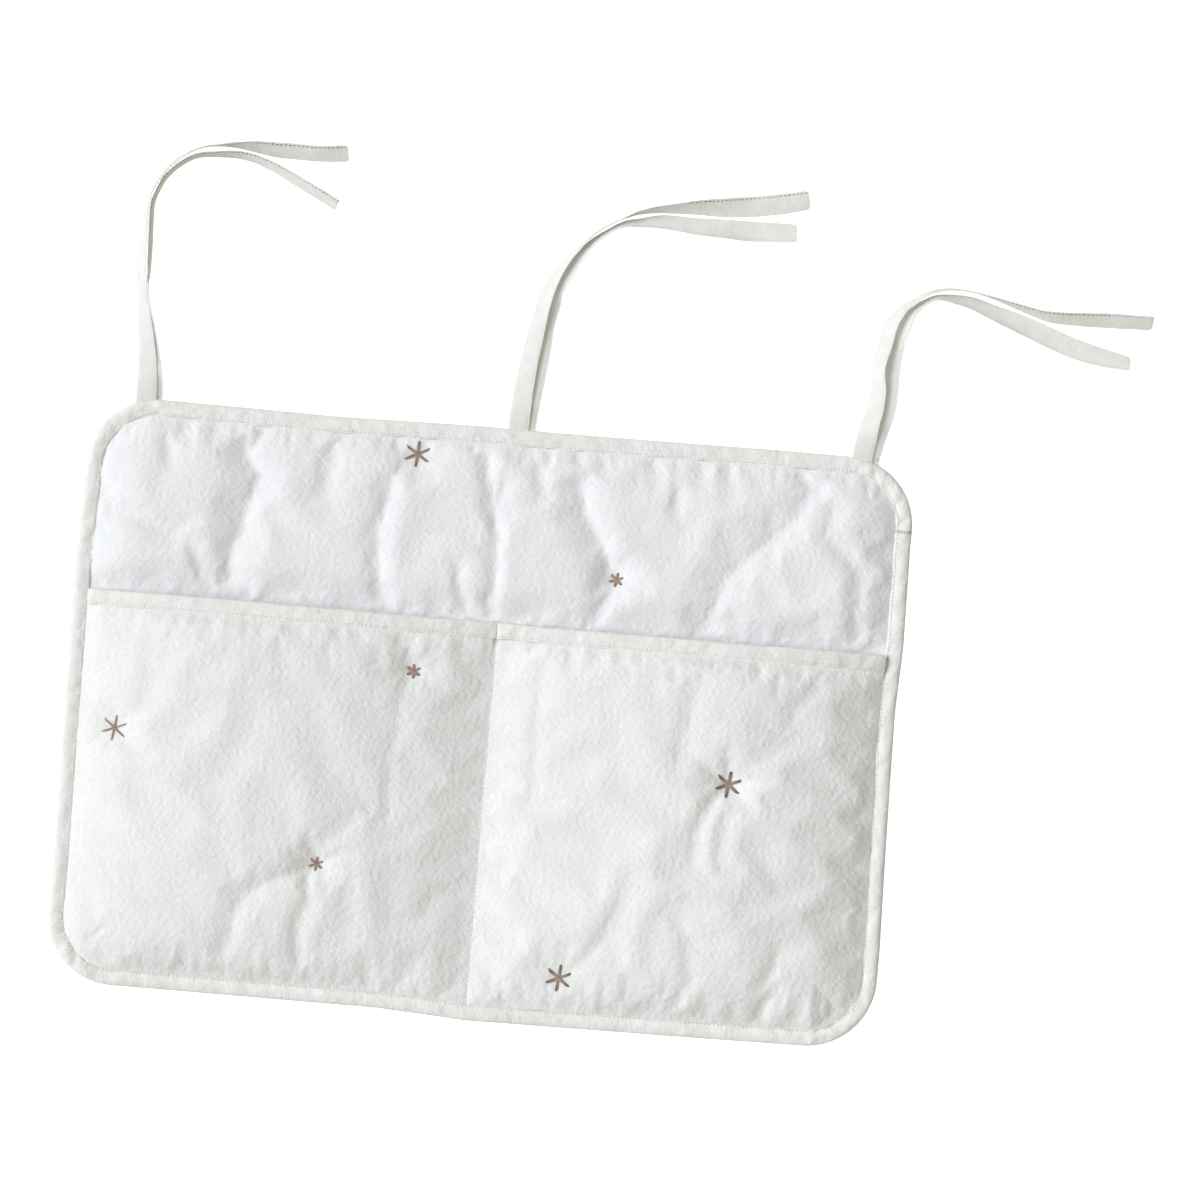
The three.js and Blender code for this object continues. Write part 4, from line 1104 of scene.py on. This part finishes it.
def addMouthBinding(sideName):
    ends = pocketHalves[sideName]
    seed = pocketSides[sideName]["mouthSeed"]
    low = ends["left"] - (mouthTape["dividerOverlap"] if sideName == "right" else 0)
    high = ends["right"] + (mouthTape["dividerOverlap"] if sideName == "left" else 0)
    xs = np.unique(np.concatenate([
        evenSteps(low, ends["middle"], mouthTape["step"]), evenSteps(ends["middle"], high, mouthTape["step"]),
    ]))
    x = xs[:, None]
    bulge = easeUp(sideReach(sideName, ends, x, pocket["innerShare"]), pocket["crownRun"])
    base = bedTop(x, panel["mouthY"]) + panel["gap"] + pocket["lift"] + pocket["room"] * bulge
    down, rise = np.array(mouthTape["profile"]).T
    endSwell = swell(np.minimum(x - low, high - x), mouthTape["endRun"])
    endShare = mouthTape["endHeight"] + (1 - mouthTape["endHeight"]) * endSwell
    pucker = softNoise(x + down * 0.5, down * 0.3, 6, seed) + 0.6 * softNoise(x, down, 3.4, seed + 1)
    puffed = smooth(1.2, 3, rise) * mouthTape["puckers"] * pucker * smooth(0, 3, down)
    z = base + (rise - 1) * endShare + 1 + puffed
    sideInset = np.minimum(x - ends["left"], ends["right"] - x)
    sway = mouthTape["sway"] * softNoise(x, 0, mouthTape["swaySize"], seed + 3) * smooth(0, 20, sideInset)
    rings = np.stack([np.broadcast_to(x, z.shape), panel["mouthY"] + sway - down, z], axis=2)
    place = tapePlace(down + 20 * (rise < 0), xs)
    around = np.roll(rings, -1, axis=1) - np.roll(rings, 1, axis=1)
    normals = unit(np.cross(around, np.gradient(rings, axis=0)))
    seat = stitchRow(mouthTape)
    middle = int(np.argmin(np.abs(xs - ends["middle"])))
    for halfName, cut in {"West": slice(0, middle + 1), "East": slice(middle, None)}.items():
        tape = sweptPiece(
            f"{sideName}MouthTape{halfName}", rings[cut], [bindingCotton], place[cut], False, None,
            normals[cut].reshape(-1, 3))
        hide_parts(f"{sideName}_mouth_binding")
        blendWith(tape)
        line = rings[cut][:, seat] + (0, 0, stitchLift)
        stitches = seamStitches(
            f"{sideName}MouthStitches{halfName}", line, mouthTape["pitch"], mouthTape["stitch"])
        blendWith(stitches)


addMouthBinding("left")
addMouthBinding("right")
print("mouth bindings made")

# Stars: three long stitches of soft floss that cross, each a pair of strands. The strands lie spread apart,
# narrower towards the ends, wind slowly about each other, pass over the stitches below within crossRun of
# the middle, and sink into the cloth from sinkFrom on, where they also grow thin.
floss = {
    "strand": 0.68, "spread": 0.55, "steps": 14, "sides": 8, "lift": 0.35, "flatness": 0.8, "uneven": 0.05,
    "winding": 3.5, "windWidth": 0.14, "windHeight": 0.12, "narrowing": 0.45, "thinning": 0.35,
    "sink": 0.9, "sinkFrom": 0.86, "crossHeight": 0.42, "crossRun": 4.5,
}


def addStar(name, spec):
    x, y, radius, body, node, turn, fullness = spec
    count = floss["sides"]
    points, faces, place = [], [], []
    for bar in range(3):
        angle = math.radians(turn + 60 * bar)
        along = np.array([math.cos(angle), math.sin(angle)])
        aside = np.array([-along[1], along[0]])
        for strand in (-1, 1):
            first = len(points)
            phase = 0.7 * bar + (0 if strand < 0 else math.pi)
            for i in range(floss["steps"] + 1):
                share = 2 * i / floss["steps"] - 1
                wind = share * floss["winding"]
                reach = radius * share * (1 - floss["uneven"] * strand * (bar - 1))
                twist = math.sin(phase + wind) * floss["windWidth"]
                drift = fullness * floss["spread"] * (strand * (1 - floss["narrowing"] * share ** 2) + twist)
                px, py = np.array([x, y]) + along * reach + aside * drift
                sink = floss["sink"] * max(0, abs(share) - floss["sinkFrom"]) / (1 - floss["sinkFrom"])
                crossing = floss["crossHeight"] * bar * max(0, 1 - (reach / floss["crossRun"]) ** 2)
                z = heightOn(body, px, py) + floss["lift"] + crossing - sink
                z += floss["windHeight"] * strand * math.cos(wind)
                thin = fullness * floss["strand"] * (1 - floss["thinning"] * share ** 6)
                # Painted shade where the floss sinks into the cloth, and partly its own deeper tone where the
                # twist tightens
                endShadeAndTwist = abs(share) * (2 * fullness - 1)  # full floss: more painted shade at its ends
                for k in range(count):
                    turnAngle = 2 * math.pi * k / count
                    out = aside * math.cos(turnAngle) * thin
                    up = math.sin(turnAngle) * thin * floss["flatness"]
                    points.append((px + out[0], py + out[1], z + up))
                    place.append((turnAngle * thin, reach, endShadeAndTwist))
            for i in range(floss["steps"]):
                for k in range(count):
                    near, far = first + i * count, first + (i + 1) * count
                    after = (k + 1) % count
                    faces.append([near + k, near + after, far + after, far + k])
            last = first + floss["steps"] * count
            faces += [[first + k for k in range(count)][::-1], [last + k for k in range(count)]]
    piece = makeMesh(name, np.array(points), faces, [starFloss], np.array(place))
    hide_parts(node)
    if body == "panel":
        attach(piece, "panel")
    else:
        blendWith(piece)


for name, spec in stars.items():
    addStar(name, spec)
print("stars made")

# Studio: pale matt floor, soft key light from the left, a fill light without shadows and an even sky. The
# floor lies a little below the ground, so that nothing which rests on the ground cuts into it.
studio = {
    "sun": 2.15, "fill": 0.7, "sunColour": "F3F9FF", "sunAngle": 50, "sunHeight": 43, "sunTurn": -8,
    "sky": 0.36, "bounce": 0.6, "skyColour": "FFFAEC", "glow": 0.9, "floorHalf": 9000, "floorHeight": -0.3,
    "floorColour": "F4F4F4", "floorRoughness": 0.95,
}


def addStudio():
    floorMaterial = newMaterial("matteWhitePaper")
    shader = addNode(floorMaterial, "BsdfPrincipled", {
        "Base Color": toLinear(studio["floorColour"]), "Roughness": studio["floorRoughness"],
        "Emission Color": (1, 1, 1, 1), "Emission Strength": studio["glow"],
    })
    addNode(floorMaterial, "OutputMaterial", {}, {"Surface": shader.outputs["BSDF"]})
    half, height = studio["floorHalf"], studio["floorHeight"]
    corners = [(x * half, y * half, height) for x, y in ((-1, -1), (1, -1), (1, 1), (-1, 1))]
    floor = makeMesh("studioFloor", corners, [[0, 1, 2, 3]], [floorMaterial], isWaved=False)
    # The floor's glow doesn't light the cloth: the sky below does
    floor.visible_diffuse = floor.visible_shadow = False
    suns = (("keyLight", studio["sun"], True), ("fillLight", studio["fill"], False))
    for lightName, energy, castsShadow in suns:
        sunData = bpy.data.lights.new(lightName, "SUN")
        sunData.energy = energy
        sunData.use_shadow = castsShadow
        sunData.color = toLinear(studio["sunColour"])[:3]
        sunData.angle = math.radians(studio["sunAngle"])
        sun = bpy.data.objects.new(lightName, sunData)
        sun.rotation_euler = (0, -math.radians(90 - studio["sunHeight"]), math.radians(studio["sunTurn"]))
        bpy.context.scene.collection.objects.link(sun)
    world = bpy.data.worlds.new("studioSky")
    world.use_nodes = True
    world.node_tree.nodes.clear()
    ray = addNode(world, "TexCoord").outputs["Generated"]
    upward = addNode(world, "SeparateXYZ", {}, {0: ray}).outputs["Z"]
    strength = addNode(world, "MapRange", {
        "From Min": -0.2, "From Max": 0, "To Min": studio["bounce"], "To Max": studio["sky"],
    }, {"Value": upward}).outputs["Result"]
    sky = addNode(world, "Background", {"Color": toLinear(studio["skyColour"])}, {"Strength": strength})
    addNode(world, "OutputWorld", {}, {"Surface": sky.outputs[0]})
    bpy.context.scene.world = world


addStudio()
print("studio made")
